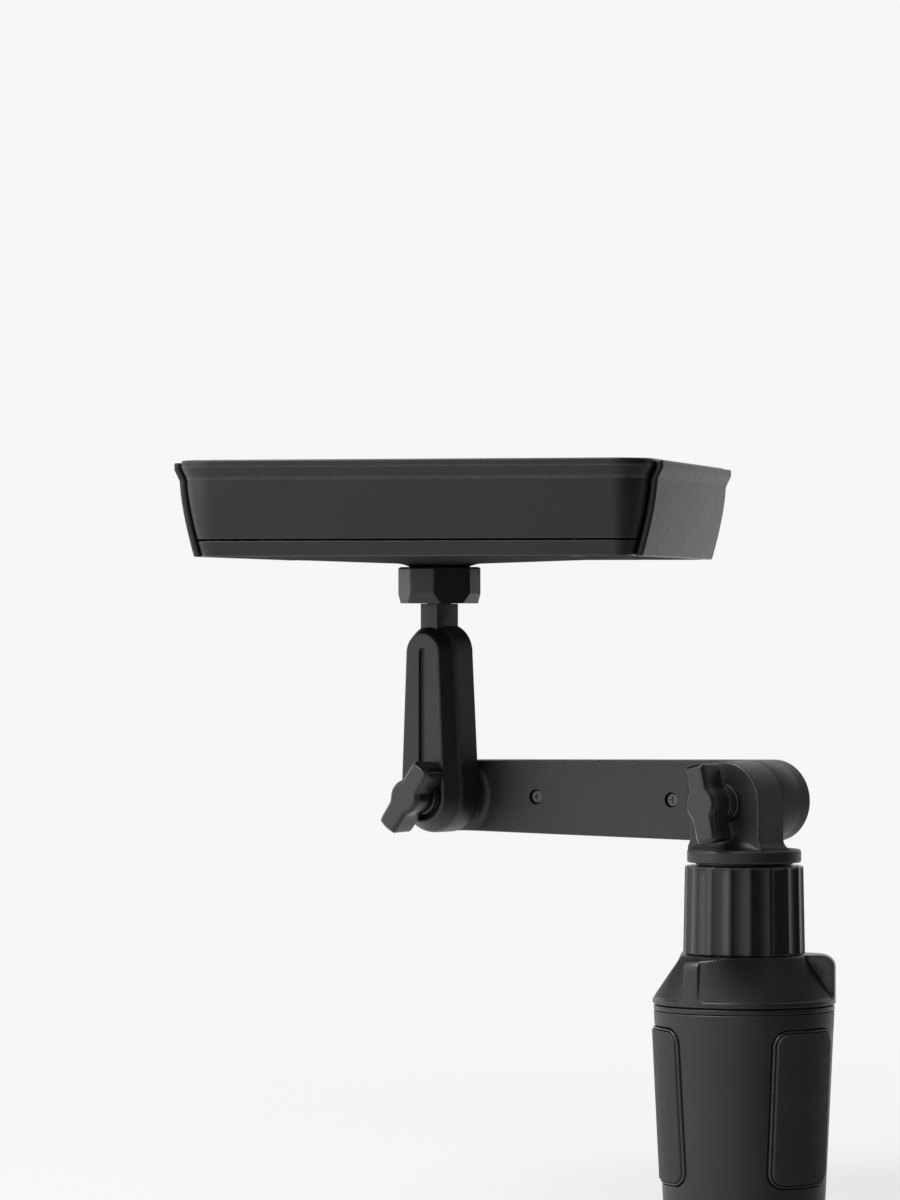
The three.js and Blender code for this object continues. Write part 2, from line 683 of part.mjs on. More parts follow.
// Soft pad set in the jaw's face
function jawPad() {
  const wall = taperedRing(PAD_RECESS - JAW_PROUD - FIT, PAD_PROUD + JAW_PROUD);
  return wall.intersect(prismX(jawOutline(-PAD_MARGIN), WINDOW_CUT_R, JAW_CUT_R + CUT, JAW_MID_Z, 0));
}

jawAngles.forEach((angle, i) => {
  const station = new THREE.Group();
  station.rotation.z = radians(angle);
  base.add(station);
  piece(`jaw_${i + 1}`, jaw(), satin, station);
  piece(`jaw_pad_${i + 1}`, jawPad(), rubber, station);
});

// Cut of a finger scoop: a slice of a cone that deepens along its span
function scoopCut(first) {
  const footZ = DIAL_Z0 + SCOOP_FOOT_RISE;
  const footR = DIAL_R - SCOOP_LIP;
  const outerR = DIAL_R + SCOOP_FOOT_RISE;
  const rings = [];
  for (let i = 0; i <= SCOOP_STEPS; i += 1) {
    const share = i / SCOOP_STEPS;
    const depth = SCOOP_START + (1 - SCOOP_START) * THREE.MathUtils.smoothstep(share, 0, SCOOP_RAMP);
    const topR = footR - (footR - SCOOP_TOP_R) * depth * (DIAL_Z1 + CUT - footZ) / (DIAL_Z1 - footZ);
    const profile = [[footR, footZ], [outerR, footZ], [outerR, DIAL_Z1 + CUT], [topR, DIAL_Z1 + CUT]];
    const turn = first + SCOOP_SPAN * share;
    rings.push(profile.map(([r, z]) => new THREE.Vector3(...onCircle(r, turn), z)));
  }
  return skin(rings, (p) => new THREE.Vector2(Math.hypot(p.x, p.y), p.z));
}

// Expander dial: round shoulder with three finger scoops, hollow below
function expanderDial() {
  const shoulderZ = DIAL_Z1 - DIAL_SHOULDER;
  const grooveZ = DIAL_Z0 + DIAL_LIP_H;
  const shoulder = [];
  for (let i = 0; i <= SHOULDER_STEPS; i += 1) {
    const angle = Math.PI / 2 * i / SHOULDER_STEPS;
    const r = DIAL_CROWN_R + (DIAL_R - DIAL_CROWN_R) * Math.cos(angle);
    shoulder.push([r, shoulderZ + DIAL_SHOULDER * Math.sin(angle)]);
  }
  const hubR = SLEEVE_VERTEX_R + FIT + DIAL_SHELL;
  const skirtR = DIAL_R - DIAL_SHELL;
  const hollowTop = DIAL_Z1 - 2 * DIAL_SHELL;
  let dial = turned([
    [COLUMN_R + RUN, DIAL_Z0],
    [hubR, DIAL_Z0],
    [hubR, hollowTop],
    [SCOOP_TOP_R - DIAL_SHELL, hollowTop],
    [skirtR, DIAL_Z0 + SCOOP_FOOT_RISE / 2],
    [skirtR, DIAL_Z0],
    [DIAL_R - DIAL_GROOVE / 2, DIAL_Z0],
    [DIAL_R - DIAL_GROOVE / 2, grooveZ - DIAL_GROOVE],
    [DIAL_R - 2 * DIAL_GROOVE, grooveZ - DIAL_GROOVE / 2],
    [DIAL_R, grooveZ],
    ...shoulder,
    [COLUMN_R + RUN, DIAL_Z1],
  ], FINE);
  const socket = prismZ(regularShape(6, SLEEVE_FLAT + FIT), DIAL_Z0 - CUT, DIAL_Z0 + SLEEVE_GRIP + FIT);
  dial = dial.subtract(socket);
  for (let i = 0; i < SCOOP_COUNT; i += 1) {
    dial = dial.subtract(scoopCut(SCOOP_FIRST_ANGLE - SCOOP_SPAN / 2 + 360 * i / SCOOP_COUNT));
  }
  return dial;
}
piece('expander_dial', expanderDial(), plastic, base);

// Lock collar: tapered sleeve with shallow flutes
function lockCollar() {
  const boreR = NECK_R + RUN;
  let collar = turned([
    [boreR, NECK_Z0],
    [COLLAR_FOOT_R, NECK_Z0],
    [COLLAR_TOP_R, COLLAR_Z1 - COLLAR_EDGE / 2],
    [COLLAR_TOP_R - COLLAR_EDGE / 2, COLLAR_Z1],
    [boreR, COLLAR_Z1],
  ], FINE);
  const meanR = (COLLAR_FOOT_R + COLLAR_TOP_R) / 2;
  for (let i = 0; i < COLLAR_FLUTES; i += 1) {
    const [x, y] = onCircle(meanR + FLUTE_R - FLUTE_DEPTH, COLLAR_TURN + 360 * i / COLLAR_FLUTES);
    collar = collar.subtract(pinZ(FLUTE_R, NECK_Z0 + COLLAR_EDGE, COLLAR_Z1 - COLLAR_EDGE, x, y, FINE));
  }
  return collar;
}
piece('lock_collar', lockCollar(), satin, base);

// What the bracket carries turns with it about the base axis
const carried = new THREE.Group();
carried.rotation.z = radians(ARM_YAW);
object.add(carried);

// Swivel bracket: spigot, flange and one round-topped ear
function swivelBracket() {
  const spigotZ = NECK_Z0 + NECK_FLOOR_H + FIT;
  let bracket = turned([
    [0, spigotZ],
    [SPIGOT_R, spigotZ],
    [SPIGOT_R, STEP_Z0],
    [STEP_R, STEP_Z0],
    [STEP_R, FLANGE_Z0],
    [FLANGE_R - FLANGE_EDGE, FLANGE_Z0],
    [FLANGE_R, FLANGE_Z0 + FLANGE_EDGE],
    [FLANGE_R, FLANGE_Z1 - FLANGE_EDGE / 2],
    [FLANGE_R - FLANGE_EDGE / 2, FLANGE_Z1],
    [0, FLANGE_Z1],
  ], FINE);
  const foot = -LOWER_HINGE_RISE;
  const ear = new THREE.Shape();
  ear.moveTo(-EAR_R - EAR_FILLET, foot - CUT);
  ear.lineTo(EAR_R + EAR_FILLET, foot - CUT);
  ear.lineTo(EAR_R + EAR_FILLET, foot);
  ear.absarc(EAR_R + EAR_FILLET, foot + EAR_FILLET, EAR_FILLET, Math.PI * 1.5, Math.PI, true);
  ear.absarc(0, 0, EAR_R, 0, Math.PI, false);
  ear.absarc(-EAR_R - EAR_FILLET, foot + EAR_FILLET, EAR_FILLET, 0, -Math.PI / 2, true);
  ear.closePath();
  const within = pinZ(FLANGE_R, FLANGE_Z1 - 2 * CUT, HINGE_Z + EAR_R + CUT, 0, 0, FINE);
  bracket = bracket.add(prismY(ear, EAR_Y0, EAR_Y1, 0, HINGE_Z, 7).intersect(within));
  bracket = bracket.add(pinY(EAR_PAD_R, LOWER_SEAT_Y, EAR_Y0 + CUT, 0, HINGE_Z, MEDIUM));
  return bracket.subtract(pinY(BOLT_HOLE_R, LOWER_SEAT_Y - CUT, EAR_Y1 + CUT, 0, HINGE_Z));
}
piece('swivel_bracket', swivelBracket(), plastic, carried);

// Arm outline, shrunk by a margin
function armOutline(shrink) {
  return linkShape(ARM_LOWER_R - shrink, ARM_UPPER_R - shrink, ARM_LENGTH);
}

// Arm half between two Y planes, with its outer edge eased
function armHalf(outerY, splitY) {
  const [near, far] = [Math.min(outerY, splitY), Math.max(outerY, splitY)];
  const front = outerY < splitY;
  const ring = (shrink, y) => armOutline(shrink).getPoints(6).slice(0, -1)
    .map((p) => new THREE.Vector3(p.x, y, p.y + HINGE_Z));
  const rings = front
    ? [ring(ARM_EDGE, near), ring(0, near + ARM_EDGE), ring(0, far)]
    : [ring(0, near), ring(0, far - ARM_EDGE), ring(ARM_EDGE, far)];
  return skin(rings, (p) => new THREE.Vector2(p.x, p.z));
}

// Hollow of an arm half, open at the split, with posts left for the screws
function armHollow(y0, y1) {
  const [from, to] = [-ARM_LENGTH + ARM_END_SOLID, -ARM_END_SOLID];
  let hollow = prismY(armOutline(ARM_WALL), y0, y1, 0, HINGE_Z);
  hollow = hollow.intersect(block(from, to, y0, y1, HINGE_Z - ARM_LOWER_R, HINGE_Z + ARM_LOWER_R));
  for (const x of ARM_SCREW_X) {
    hollow = hollow.subtract(pinY(ARM_BOSS_R, y0 - CUT, y1 + CUT, x, HINGE_Z));
  }
  return hollow;
}

// Raised hub on the arm's front with a hollow fillet round it, kept inside the outline
function armHub() {
  const fillet = [];
  for (let i = 0; i <= SHOULDER_STEPS; i += 1) {
    const angle = Math.PI / 2 * i / SHOULDER_STEPS;
    const r = ARM_HUB_R + ARM_HUB_FILLET * (1 - Math.sin(angle));
    fillet.push([r, ARM_Y0 - ARM_HUB_FILLET * (1 - Math.cos(angle))]);
  }
  const hub = turnedY([
    [0, ARM_Y0 + CUT],
    [ARM_HUB_R + ARM_HUB_FILLET, ARM_Y0 + CUT],
    ...fillet,
    [ARM_HUB_R, ARM_HUB_Y],
    [0, ARM_HUB_Y],
  ], -ARM_LENGTH, HINGE_Z, FINE);
  return hub.intersect(prismY(armOutline(ARM_EDGE), ARM_HUB_Y, ARM_Y0 + CUT, 0, HINGE_Z, 8));
}

// Front shell: face with the hub and the screw holes
function armFrontShell() {
  let shell = armHalf(ARM_Y0, ARM_SPLIT_Y);
  shell = shell.subtract(armHollow(ARM_Y0 + ARM_WALL, ARM_SPLIT_Y + CUT));
  shell = shell.add(armHub());
  for (const x of [0, -ARM_LENGTH]) {
    shell = shell.subtract(pinY(BOLT_HOLE_R, ARM_HUB_Y - CUT, ARM_SPLIT_Y + CUT, x, HINGE_Z));
  }
  for (const x of ARM_SCREW_X) {
    const seatY = ARM_Y0 + ARM_SCREW_SUNK + ARM_SCREW_HEAD_T + FIT;
    shell = shell.subtract(pinY(ARM_SCREW_HEAD_R + 2 * FIT, ARM_Y0 - CUT, seatY, x, HINGE_Z));
    shell = shell.subtract(pinY(ARM_SCREW_R + FIT, ARM_Y0, ARM_SPLIT_Y + CUT, x, HINGE_Z, TINY));
  }
  return shell;
}
piece('arm_front_shell', armFrontShell(), plastic, carried);

// Rear shell: back cover with sunk places for the bolt heads
function armRearShell() {
  let shell = armHalf(ARM_Y1, ARM_REAR_SPLIT_Y);
  shell = shell.subtract(armHollow(ARM_REAR_SPLIT_Y - CUT, ARM_Y1 - ARM_WALL));
  const seatY = ARM_Y1 - BOLT_HEAD_SUNK - BOLT_HEAD_T - FIT;
  for (const x of [0, -ARM_LENGTH]) {
    shell = shell.subtract(pinY(BOLT_HOLE_R, ARM_REAR_SPLIT_Y - CUT, ARM_Y1 + CUT, x, HINGE_Z));
    shell = shell.subtract(pinY(BOLT_HEAD_R + FIT, seatY, ARM_Y1 + CUT, x, HINGE_Z));
  }
  for (const x of ARM_SCREW_X) {
    const tipY = ARM_Y0 + ARM_SCREW_SUNK + ARM_SCREW_L + FIT;
    shell = shell.subtract(pinY(ARM_SCREW_R + FIT, ARM_REAR_SPLIT_Y - CUT, tipY, x, HINGE_Z, TINY));
  }
  return shell;
}
piece('arm_rear_shell', armRearShell(), plastic, carried);

ARM_SCREW_X.forEach((x, i) => {
  const spot = new THREE.Group();
  spot.position.set(x, ARM_Y0 + ARM_SCREW_SUNK, HINGE_Z);
  spot.rotation.x = -Math.PI / 2;
  carried.add(spot);
  const screw = screwUp(ARM_SCREW_HEAD_R, ARM_SCREW_R, ARM_SCREW_HEAD_T, ARM_SCREW_L);
  piece(`arm_screw_${i + 1}`, screw, steel, spot);
});

// Hinge bolt: round head sunk in the arm's back, shank forward into a knob
function hingeBolt(x, tipY) {
  const headY = ARM_Y1 - BOLT_HEAD_SUNK;
  return turnedY([
    [0, tipY],
    [BOLT_R, tipY],
    [BOLT_R, headY - BOLT_HEAD_T],
    [BOLT_HEAD_R, headY - BOLT_HEAD_T],
    [BOLT_HEAD_R, headY - BOLT_HEAD_EDGE],
    [BOLT_HEAD_R - BOLT_HEAD_EDGE, headY],
    [0, headY],
  ], x, HINGE_Z, SMALL);
}

// Washer under a knob, in front of its seat
function knobWasher(x, seatY) {
  const [y0, y1] = [seatY - FIT - WASHER_T, seatY - FIT];
  const inside = BOLT_HOLE_R;
  return turnedY([[inside, y0], [WASHER_R, y0], [WASHER_R, y1], [inside, y1]], x, HINGE_Z, SMALL);
}

// Y of a knob's foot, in front of its washer
function knobFootY(seatY) {
  return seatY - 2 * FIT - WASHER_T;
}

// Wing knob: base disc, and a bar of two wings across a round hub
function wingKnob(x, seatY, turn) {
  const footY = knobFootY(seatY);
  const discY = footY - KNOB_BASE_H;
  const topY = footY - KNOB_H;
  let knob = turnedY([
    [0, topY],
    [KNOB_HUB_R - KNOB_EDGE, topY],
    [KNOB_HUB_R, topY + KNOB_EDGE],
    [KNOB_HUB_R, discY],
    [KNOB_BASE_R - KNOB_BASE_EDGE, discY],
    [KNOB_BASE_R, discY + KNOB_BASE_EDGE],
    [KNOB_BASE_R, footY],
    [0, footY],
  ], x, HINGE_Z, SMALL);
  const angle = radians(turn);
  const ring = (inset, y) => {
    const outline = roundedRect(WING_W - 2 * inset, WING_SPAN - 2 * inset, WING_CORNER - inset);
    const points = outline.getPoints(3).slice(0, -1).map((p) => p.rotateAround(new THREE.Vector2(), -angle));
    return points.map((p) => new THREE.Vector3(x + p.x, y, HINGE_Z + p.y));
  };
  const planOfKnob = (p) => new THREE.Vector2(p.x, p.z);
  knob = knob.add(skin([ring(KNOB_EDGE, topY), ring(0, topY + KNOB_EDGE), ring(0, discY + FIT)], planOfKnob));
  const pocketY = footY - INSERT_T - 2 * FIT;
  knob = knob.subtract(prismY(regularShape(6, INSERT_FLAT + FIT), pocketY, footY + CUT, x, HINGE_Z));
  return knob.subtract(pinY(BOLT_HOLE_R, topY + KNOB_FRONT_T, footY + CUT, x, HINGE_Z));
}

// Threaded hexagonal insert in a knob's foot
function knobInsert(x, seatY) {
  const footY = knobFootY(seatY) - FIT;
  const hexagon = prismY(regularShape(6, INSERT_FLAT), footY - INSERT_T, footY, x, HINGE_Z);
  return hexagon.subtract(pinY(BOLT_HOLE_R, footY - INSERT_T - CUT, footY + CUT, x, HINGE_Z));
}

const hinges = [
  { name: 'lower', x: 0, seatY: LOWER_SEAT_Y, turn: LOWER_KNOB_TURN },
  { name: 'upper', x: -ARM_LENGTH, seatY: UPPER_SEAT_Y, turn: UPPER_KNOB_TURN },
];
for (const { name, x, seatY, turn } of hinges) {
  const tipY = knobFootY(seatY) - KNOB_H + BOLT_SHORT;
  piece(`${name}_hinge_bolt`, hingeBolt(x, tipY), steel, carried);
  piece(`${name}_washer`, knobWasher(x, seatY), steel, carried);
  piece(`${name}_knob`, wingKnob(x, seatY, turn), satin, carried);
  piece(`${name}_knob_insert`, knobInsert(x, seatY), brass, carried);
}

// Upright: bevelled bar with a groove, a sunk seat for the knob and a post on top
function upright() {
  const x = -ARM_LENGTH;
  const ring = (footR, archR, y) => linkShape(footR, archR, UPRIGHT_RISE).getPoints(6).slice(0, -1)
    .map((p) => new THREE.Vector3(x + p.y, y, HINGE_Z - p.x));
  let bar = skin([
    ring(FACE_FOOT_R, FACE_ARCH_R, UPRIGHT_FACE_Y),
    ring(UPRIGHT_FOOT_R, UPRIGHT_ARCH_R, UPRIGHT_WIDE_Y),
    ring(UPRIGHT_FOOT_R, UPRIGHT_ARCH_R, UPRIGHT_BACK_Y),
  ], (p) => new THREE.Vector2(p.x, p.z));
  const postY0 = UPRIGHT_BACK_Y - POST_D;
  const postZ0 = HINGE_Z + POST_ROOT_RISE;
  bar = bar.add(block(x - POST_W / 2, x + POST_W / 2, postY0, UPRIGHT_BACK_Y, postZ0, POST_TOP_Z));
  const grooveL = GROOVE_HIGH - GROOVE_LOW;
  const grooveZ = HINGE_Z + (GROOVE_HIGH + GROOVE_LOW) / 2;
  const groove = roundedRect(GROOVE_W, grooveL, GROOVE_END_R);
  bar = bar.subtract(prismY(groove, UPRIGHT_FACE_Y - CUT, UPRIGHT_FACE_Y + GROOVE_DEPTH, x, grooveZ));
  const pocketZ = HINGE_Z + (POCKET_HIGH + POCKET_LOW) / 2;
  const pocket = roundedRect(POCKET_W, POCKET_HIGH - POCKET_LOW, POCKET_CORNER);
  bar = bar.subtract(prismY(pocket, UPRIGHT_BACK_Y - POCKET_DEPTH, UPRIGHT_BACK_Y + CUT, x, pocketZ));
  bar = bar.subtract(pinZ(STUD_TAIL_R + FIT, STUD_Z0 - STUD_TAIL_L - FIT, POST_TOP_Z + CUT, x, POST_Y, TINY));
  bar = bar.subtract(pinY(KNOB_BASE_R + RUN, UPRIGHT_FACE_Y - CUT, UPPER_SEAT_Y, x, HINGE_Z, MEDIUM));
  return bar.subtract(pinY(BOLT_HOLE_R, UPRIGHT_FACE_Y - CUT, UPRIGHT_BACK_Y + CUT, x, HINGE_Z));
}
piece('upright', upright(), plastic, carried);

// Pivot of the tray, in the object's frame
const pivot = new THREE.Vector3(-ARM_LENGTH, POST_Y, 0).applyAxisAngle(
  new THREE.Vector3(0, 0, 1),
  radians(ARM_YAW),
);
const tray = new THREE.Group();
tray.position.copy(pivot);
object.add(tray);

// Pivot stud: tail in the post, stem, and a head held between the neck and the nut
function pivotStud() {
  return turned([
    [0, STUD_Z0 - STUD_TAIL_L],
    [STUD_TAIL_R, STUD_Z0 - STUD_TAIL_L],
    [STUD_TAIL_R, STUD_Z0],
    [STUD_STEM_R, STUD_Z0],
    [STUD_STEM_R, STUD_HEAD_Z0],
    [STUD_HEAD_R, STUD_HEAD_Z0],
    [STUD_HEAD_R, STUD_HEAD_Z1],
    [0, STUD_HEAD_Z1],
  ], SMALL);
}
piece('pivot_stud', pivotStud(), steel, tray);

// Tray nut: four wide and four narrow faces, the narrow ones chamfered below,
// with a lip under the stud's head
function trayNut() {
  const wideReach = NUT_VERTEX_R * Math.cos(radians(45 - NUT_CORNER_SPAN / 2));
  const narrowReach = NUT_VERTEX_R * Math.cos(radians(NUT_CORNER_SPAN / 2));
  const ring = (inset, chamfer, z) => {
    const reach = [wideReach - inset, narrowReach - inset - chamfer];
    const corners = [];
    for (let i = 0; i < 8; i += 1) {
      const [here, next] = [reach[i % 2], reach[(i + 1) % 2]];
      const along = (next - here * Math.cos(Math.PI / 4)) / Math.sin(Math.PI / 4);
      const corner = new THREE.Vector2(here, along);
      corners.push(corner.rotateAround(new THREE.Vector2(), radians(NUT_FACE_ANGLE + 45 * i)));
    }
    const points = [];
    corners.forEach((from, i) => {
      const to = corners[(i + 1) % 8];
      points.push(from.clone().lerp(to, NUT_CORNER), to.clone().lerp(from, NUT_CORNER));
    });
    return points.map((p) => new THREE.Vector3(p.x, p.y, z));
  };
  const nut = skin([
    ring(0, NUT_CHAMFER_IN, NUT_Z0),
    ring(0, 0, NUT_Z0 + NUT_CHAMFER_H),
    ring(0, 0, NUT_Z1 - NUT_EDGE),
    ring(NUT_EDGE, 0, NUT_Z1),
  ], (p) => new THREE.Vector2(p.x, p.y));
  const lipZ = STUD_HEAD_Z0 - FIT;
  const bore = turned([
    [0, NUT_Z0 - CUT],
    [STUD_STEM_R + RUN, NUT_Z0 - CUT],
    [STUD_STEM_R + RUN, lipZ],
    [NECK_BOSS_R + FIT, lipZ],
    [NECK_BOSS_R + FIT, NUT_Z1 + CUT],
    [0, NUT_Z1 + CUT],
  ], MEDIUM);
  return nut.subtract(bore);
}
piece('tray_ring_nut', trayNut(), satin, tray);

// What belongs to the tray itself is centred on it, with its foot at zero
const shell = new THREE.Group();
shell.position.set(TRAY_OFFSET_X, 0, TRAY_Z);
tray.add(shell);

// Ring of the tray's plan at a height, inset from its wall
function trayRing(inset, z) {
  const total = trayInset(z) + inset;
  const [halfX, halfY] = [SHELL_HALF_X - total, SHELL_HALF_Y - total];
  const corner = Math.max(TRAY_CORNER_R - total, TRAY_CORNER_MIN);
  return roundedRect(2 * halfX, 2 * halfY, corner).getPoints(4).slice(0, -1)
    .map((p) => new THREE.Vector3(p.x, p.y, z));
}
const planOf = (p) => new THREE.Vector2(p.x, p.y);

// Heights at which the curved wall is cut into rings, up to the flare
function wallHeights(from) {
  const heights = [];
  for (let i = 0; i <= WALL_STEPS; i += 1) {
    heights.push(from + (FLARE_Z - from) * i / WALL_STEPS);
  }
  return heights;
}

// Places of the four screws that hold the cover to the tray
const trayScrewSpots = [];
for (const x of [-TRAY_SCREW_X, TRAY_SCREW_X]) {
  for (const y of [-TRAY_SCREW_Y, TRAY_SCREW_Y]) {
    trayScrewSpots.push([x, y]);
  }
}

// Tray cover: shallow pan with a low band round it, and a flat cone with the neck below
function trayBottom() {
  let pan = skin([trayRing(0, 0), trayRing(0, BAND_H)], planOf);
  const inside = [[TRAY_WALL, TRAY_FLOOR], [TRAY_WALL, BAND_H + CUT]];
  pan = pan.subtract(skin(inside.map(([inset, z]) => trayRing(inset, z)), planOf));
  const outerX = SHELL_HALF_X + CUT;
  const innerX = SHELL_HALF_X - FOOT_IN - TRAY_WALL - CUT;
  const notchY = LEAF_HALF + RUN;
  for (const side of [-1, 1]) {
    const [x0, x1] = [Math.min(side * innerX, side * outerX), Math.max(side * innerX, side * outerX)];
    pan = pan.subtract(block(x0, x1, -notchY, notchY, LEAF_Z0 - FIT, BAND_H + CUT));
    const y = side * RUNNER_Y;
    const runnerX = SHELL_HALF_X - FOOT_IN - TRAY_WALL + FIT;
    const [low, high] = [y - RUNNER_W / 2, y + RUNNER_W / 2];
    pan = pan.add(block(-runnerX, runnerX, low, high, TRAY_FLOOR - CUT, LEAF_Z0 - FIT));
  }
  const neckZ = STUD_HEAD_Z0 + FIT - TRAY_Z;
  const neck = turned([
    [0, CUT],
    [DISH_R, CUT],
    [DISH_R, 0],
    [NECK_FLARE_R, -DISH_H],
    [NECK_BOSS_R, -DISH_H - NECK_FLARE_H],
    [NECK_BOSS_R, neckZ],
    [0, neckZ],
  ], FINE, -TRAY_OFFSET_X);
  const shaftZ = STUD_HEAD_Z1 + FIT - TRAY_Z;
  pan = pan.add(neck);
  pan = pan.subtract(pinZ(STUD_HEAD_R + RUN, neckZ - CUT, shaftZ, -TRAY_OFFSET_X, 0, SMALL));
  for (const [x, y] of trayScrewSpots) {
    pan = pan.subtract(pinZ(TRAY_SCREW_R + FIT, -CUT, TRAY_FLOOR + CUT, x, y, TINY));
    pan = pan.subtract(pinZ(TRAY_SCREW_HEAD_R + FIT, -CUT, TRAY_SCREW_HEAD_T + FIT, x, y, TINY));
  }
  return pan;
}
piece('tray_bottom', trayBottom(), plastic, shell);

// Upper tray: flared walls round a flat floor, with four screw posts below
function trayTop() {
  const heights = [...wallHeights(TOP_SHELL_Z0), RIM_Z, TRAY_H];
  let top = skin(heights.map((z) => trayRing(0, z)), planOf);
  const hollow = [...wallHeights(TOP_FLOOR_Z1), RIM_Z, TRAY_H + CUT];
  top = top.subtract(skin(hollow.map((z) => trayRing(TRAY_WALL, z)), planOf));
  for (const [x, y] of trayScrewSpots) {
    top = top.add(pinZ(TRAY_BOSS_R, TRAY_FLOOR + FIT, TOP_SHELL_Z0 + CUT, x, y, TINY));
    const holeZ = TOP_SHELL_Z0 + TRAY_SCREW_BITE + FIT;
    top = top.subtract(pinZ(TRAY_SCREW_R + FIT, 0, holeZ, x, y, TINY));
  }
  return top;
}
piece('tray_top', trayTop(), plastic, shell);

trayScrewSpots.forEach(([x, y], i) => {
  const spot = new THREE.Group();
  spot.position.set(x, y, 0);
  shell.add(spot);
  const screw = screwUp(TRAY_SCREW_HEAD_R, TRAY_SCREW_R, TRAY_SCREW_HEAD_T, TOP_SHELL_Z0 + TRAY_SCREW_BITE);
  piece(`tray_screw_${i + 1}`, screw, steel, spot);
});

// Wing: end wall with the tray's own profile, and a leaf that slides under the floor
function wing(side) {
  const ring = (profileZ) => {
    const outer = TRAY_WIDTH / 2 - trayInset(profileZ);
    const z = Math.max(profileZ - WING_DROP, 0);
    const corners = [
      [outer - WING_PLATE_T, -WING_PLATE_HALF],
      [outer, -WING_PLATE_HALF],
      [outer, WING_PLATE_HALF],
      [outer - WING_PLATE_T, WING_PLATE_HALF],
    ];
    return corners.map(([x, y]) => new THREE.Vector3(side * x, y, z));
  };
  const shape = skin([...wallHeights(0), RIM_Z, TRAY_H].map(ring), planOf);
  const rootX = TRAY_WIDTH / 2 - trayInset(LEAF_Z0) - WING_PLATE_T / 2;
  const ends = [side * LEAF_INNER_X, side * rootX];
  return shape.add(block(Math.min(...ends), Math.max(...ends), -LEAF_HALF, LEAF_HALF, LEAF_Z0, LEAF_Z1));
}
piece('left_wing', wing(-1), plastic, shell);
piece('right_wing', wing(1), plastic, shell);

export default object;
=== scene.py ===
# %% [markdown]
# # A car tray on an expanding base
# The solids of the tray are already packed in real metres. This lesson lays finer skins over them, one
# piece at a time, and gives each piece its plastic, rubber or metal. The solids stay where they are, and
# every new piece rides on the same body as the solid it stands for.

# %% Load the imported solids
import math

import bpy
import numpy as np
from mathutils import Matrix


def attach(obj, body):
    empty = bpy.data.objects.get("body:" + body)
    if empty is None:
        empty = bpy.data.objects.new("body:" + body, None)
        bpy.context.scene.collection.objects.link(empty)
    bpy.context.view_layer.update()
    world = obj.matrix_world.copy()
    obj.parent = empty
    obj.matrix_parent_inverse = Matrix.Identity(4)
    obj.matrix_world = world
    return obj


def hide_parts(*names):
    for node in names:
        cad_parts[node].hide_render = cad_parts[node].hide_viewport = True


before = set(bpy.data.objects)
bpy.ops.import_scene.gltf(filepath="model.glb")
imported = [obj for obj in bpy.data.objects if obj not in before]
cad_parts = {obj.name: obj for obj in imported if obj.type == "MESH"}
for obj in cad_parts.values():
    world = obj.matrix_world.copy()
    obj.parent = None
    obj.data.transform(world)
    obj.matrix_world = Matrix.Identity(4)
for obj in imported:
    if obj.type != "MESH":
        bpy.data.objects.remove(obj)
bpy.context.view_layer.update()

# %% [markdown]
# ## Skins from rings of points
# Nearly every piece here is moulded: a closed outline that is carried along a short profile. So one helper
# joins rings of points into a closed skin. A modelling tool could do the same by hand with loops and
# bridges, but an array of points keeps every size exact.

# %% Grid of faces and closed skins
MM = 0.001


def grid_faces(rows, cols):
    """Quads of a grid whose rows close on themselves: point (r, c) joins (r, c+1), (r+1, c+1) and
    (r+1, c)."""
    row, col = np.meshgrid(np.arange(rows - 1), np.arange(cols), indexing="ij")
    here = row * cols + col
    beside = row * cols + (col + 1) % cols
    return np.stack([here, beside, beside + cols, here + cols], -1).reshape(-1, 4)


def skin(rings, wear_and_sheen=0.0, loop=False):
    """Closed skin through rings of shape (rows, cols, 3). The last ring joins the first when loop is set;
    otherwise one flat face closes each end. Returns points, the edge wear and painted edge sheen per point,
    and faces."""
    rows, cols = rings.shape[:2]
    faces = (grid_faces(rows + loop, cols) % (rows * cols)).tolist()
    if not loop:
        first = np.arange(cols)
        faces += [first[::-1].tolist(), (first + (rows - 1) * cols).tolist()]
    edge_wear_and_sheen = np.broadcast_to(np.reshape(wear_and_sheen, (-1, 1)), (rows, cols)).reshape(-1)
    return rings.reshape(-1, 3), edge_wear_and_sheen, faces


def volume(points, faces):
    """Six times the volume inside a closed skin: the sum of a . (b x c) over a fan of triangles in each
    face."""
    fans = [(f[0], f[k], f[k + 1]) for f in faces for k in range(1, len(f) - 1)]
    a, b, c = points[np.array(fans)].transpose(1, 0, 2)
    return float(np.einsum("ij,ij->", a, np.cross(b, c)))


# %% [markdown]
# A skin becomes an object in one step: its faces are turned outward, its smooth shading keeps the creases,
# and the edge wear and painted sheen of each point is stored, so that a material can polish the edges that
# hands rub and paint them a little lighter, as a painted sheen where edges catch the light.

# %% Turn skins into an object
CREASE = 38  # degrees; sharper edges between faces stay sharp


def joined(skins):
    """Closed skins as one set of points, wear and faces, each skin turned outward."""
    points, edge_wear_and_sheen, faces, start = [], [], [], 0
    for skin_points, skin_wear_and_sheen, skin_faces in skins:
        if volume(skin_points, skin_faces) < 0:
            skin_faces = [face[::-1] for face in skin_faces]
        points.append(skin_points)
        edge_wear_and_sheen.append(skin_wear_and_sheen)
        faces += [[start + index for index in face] for face in skin_faces]
        start += len(skin_points)
    return np.concatenate(points), np.concatenate(edge_wear_and_sheen), faces


def new_mesh(name, points, faces):
    """Mesh from points in millimetres."""
    mesh = bpy.data.meshes.new(name)
    mesh.from_pydata((points * MM).tolist(), [], faces)
    return mesh


def linked(name, data):
    """Object in the scene that shows a mesh, a lamp or a camera."""
    made = bpy.data.objects.new(name, data)
    bpy.context.scene.collection.objects.link(made)
    return made


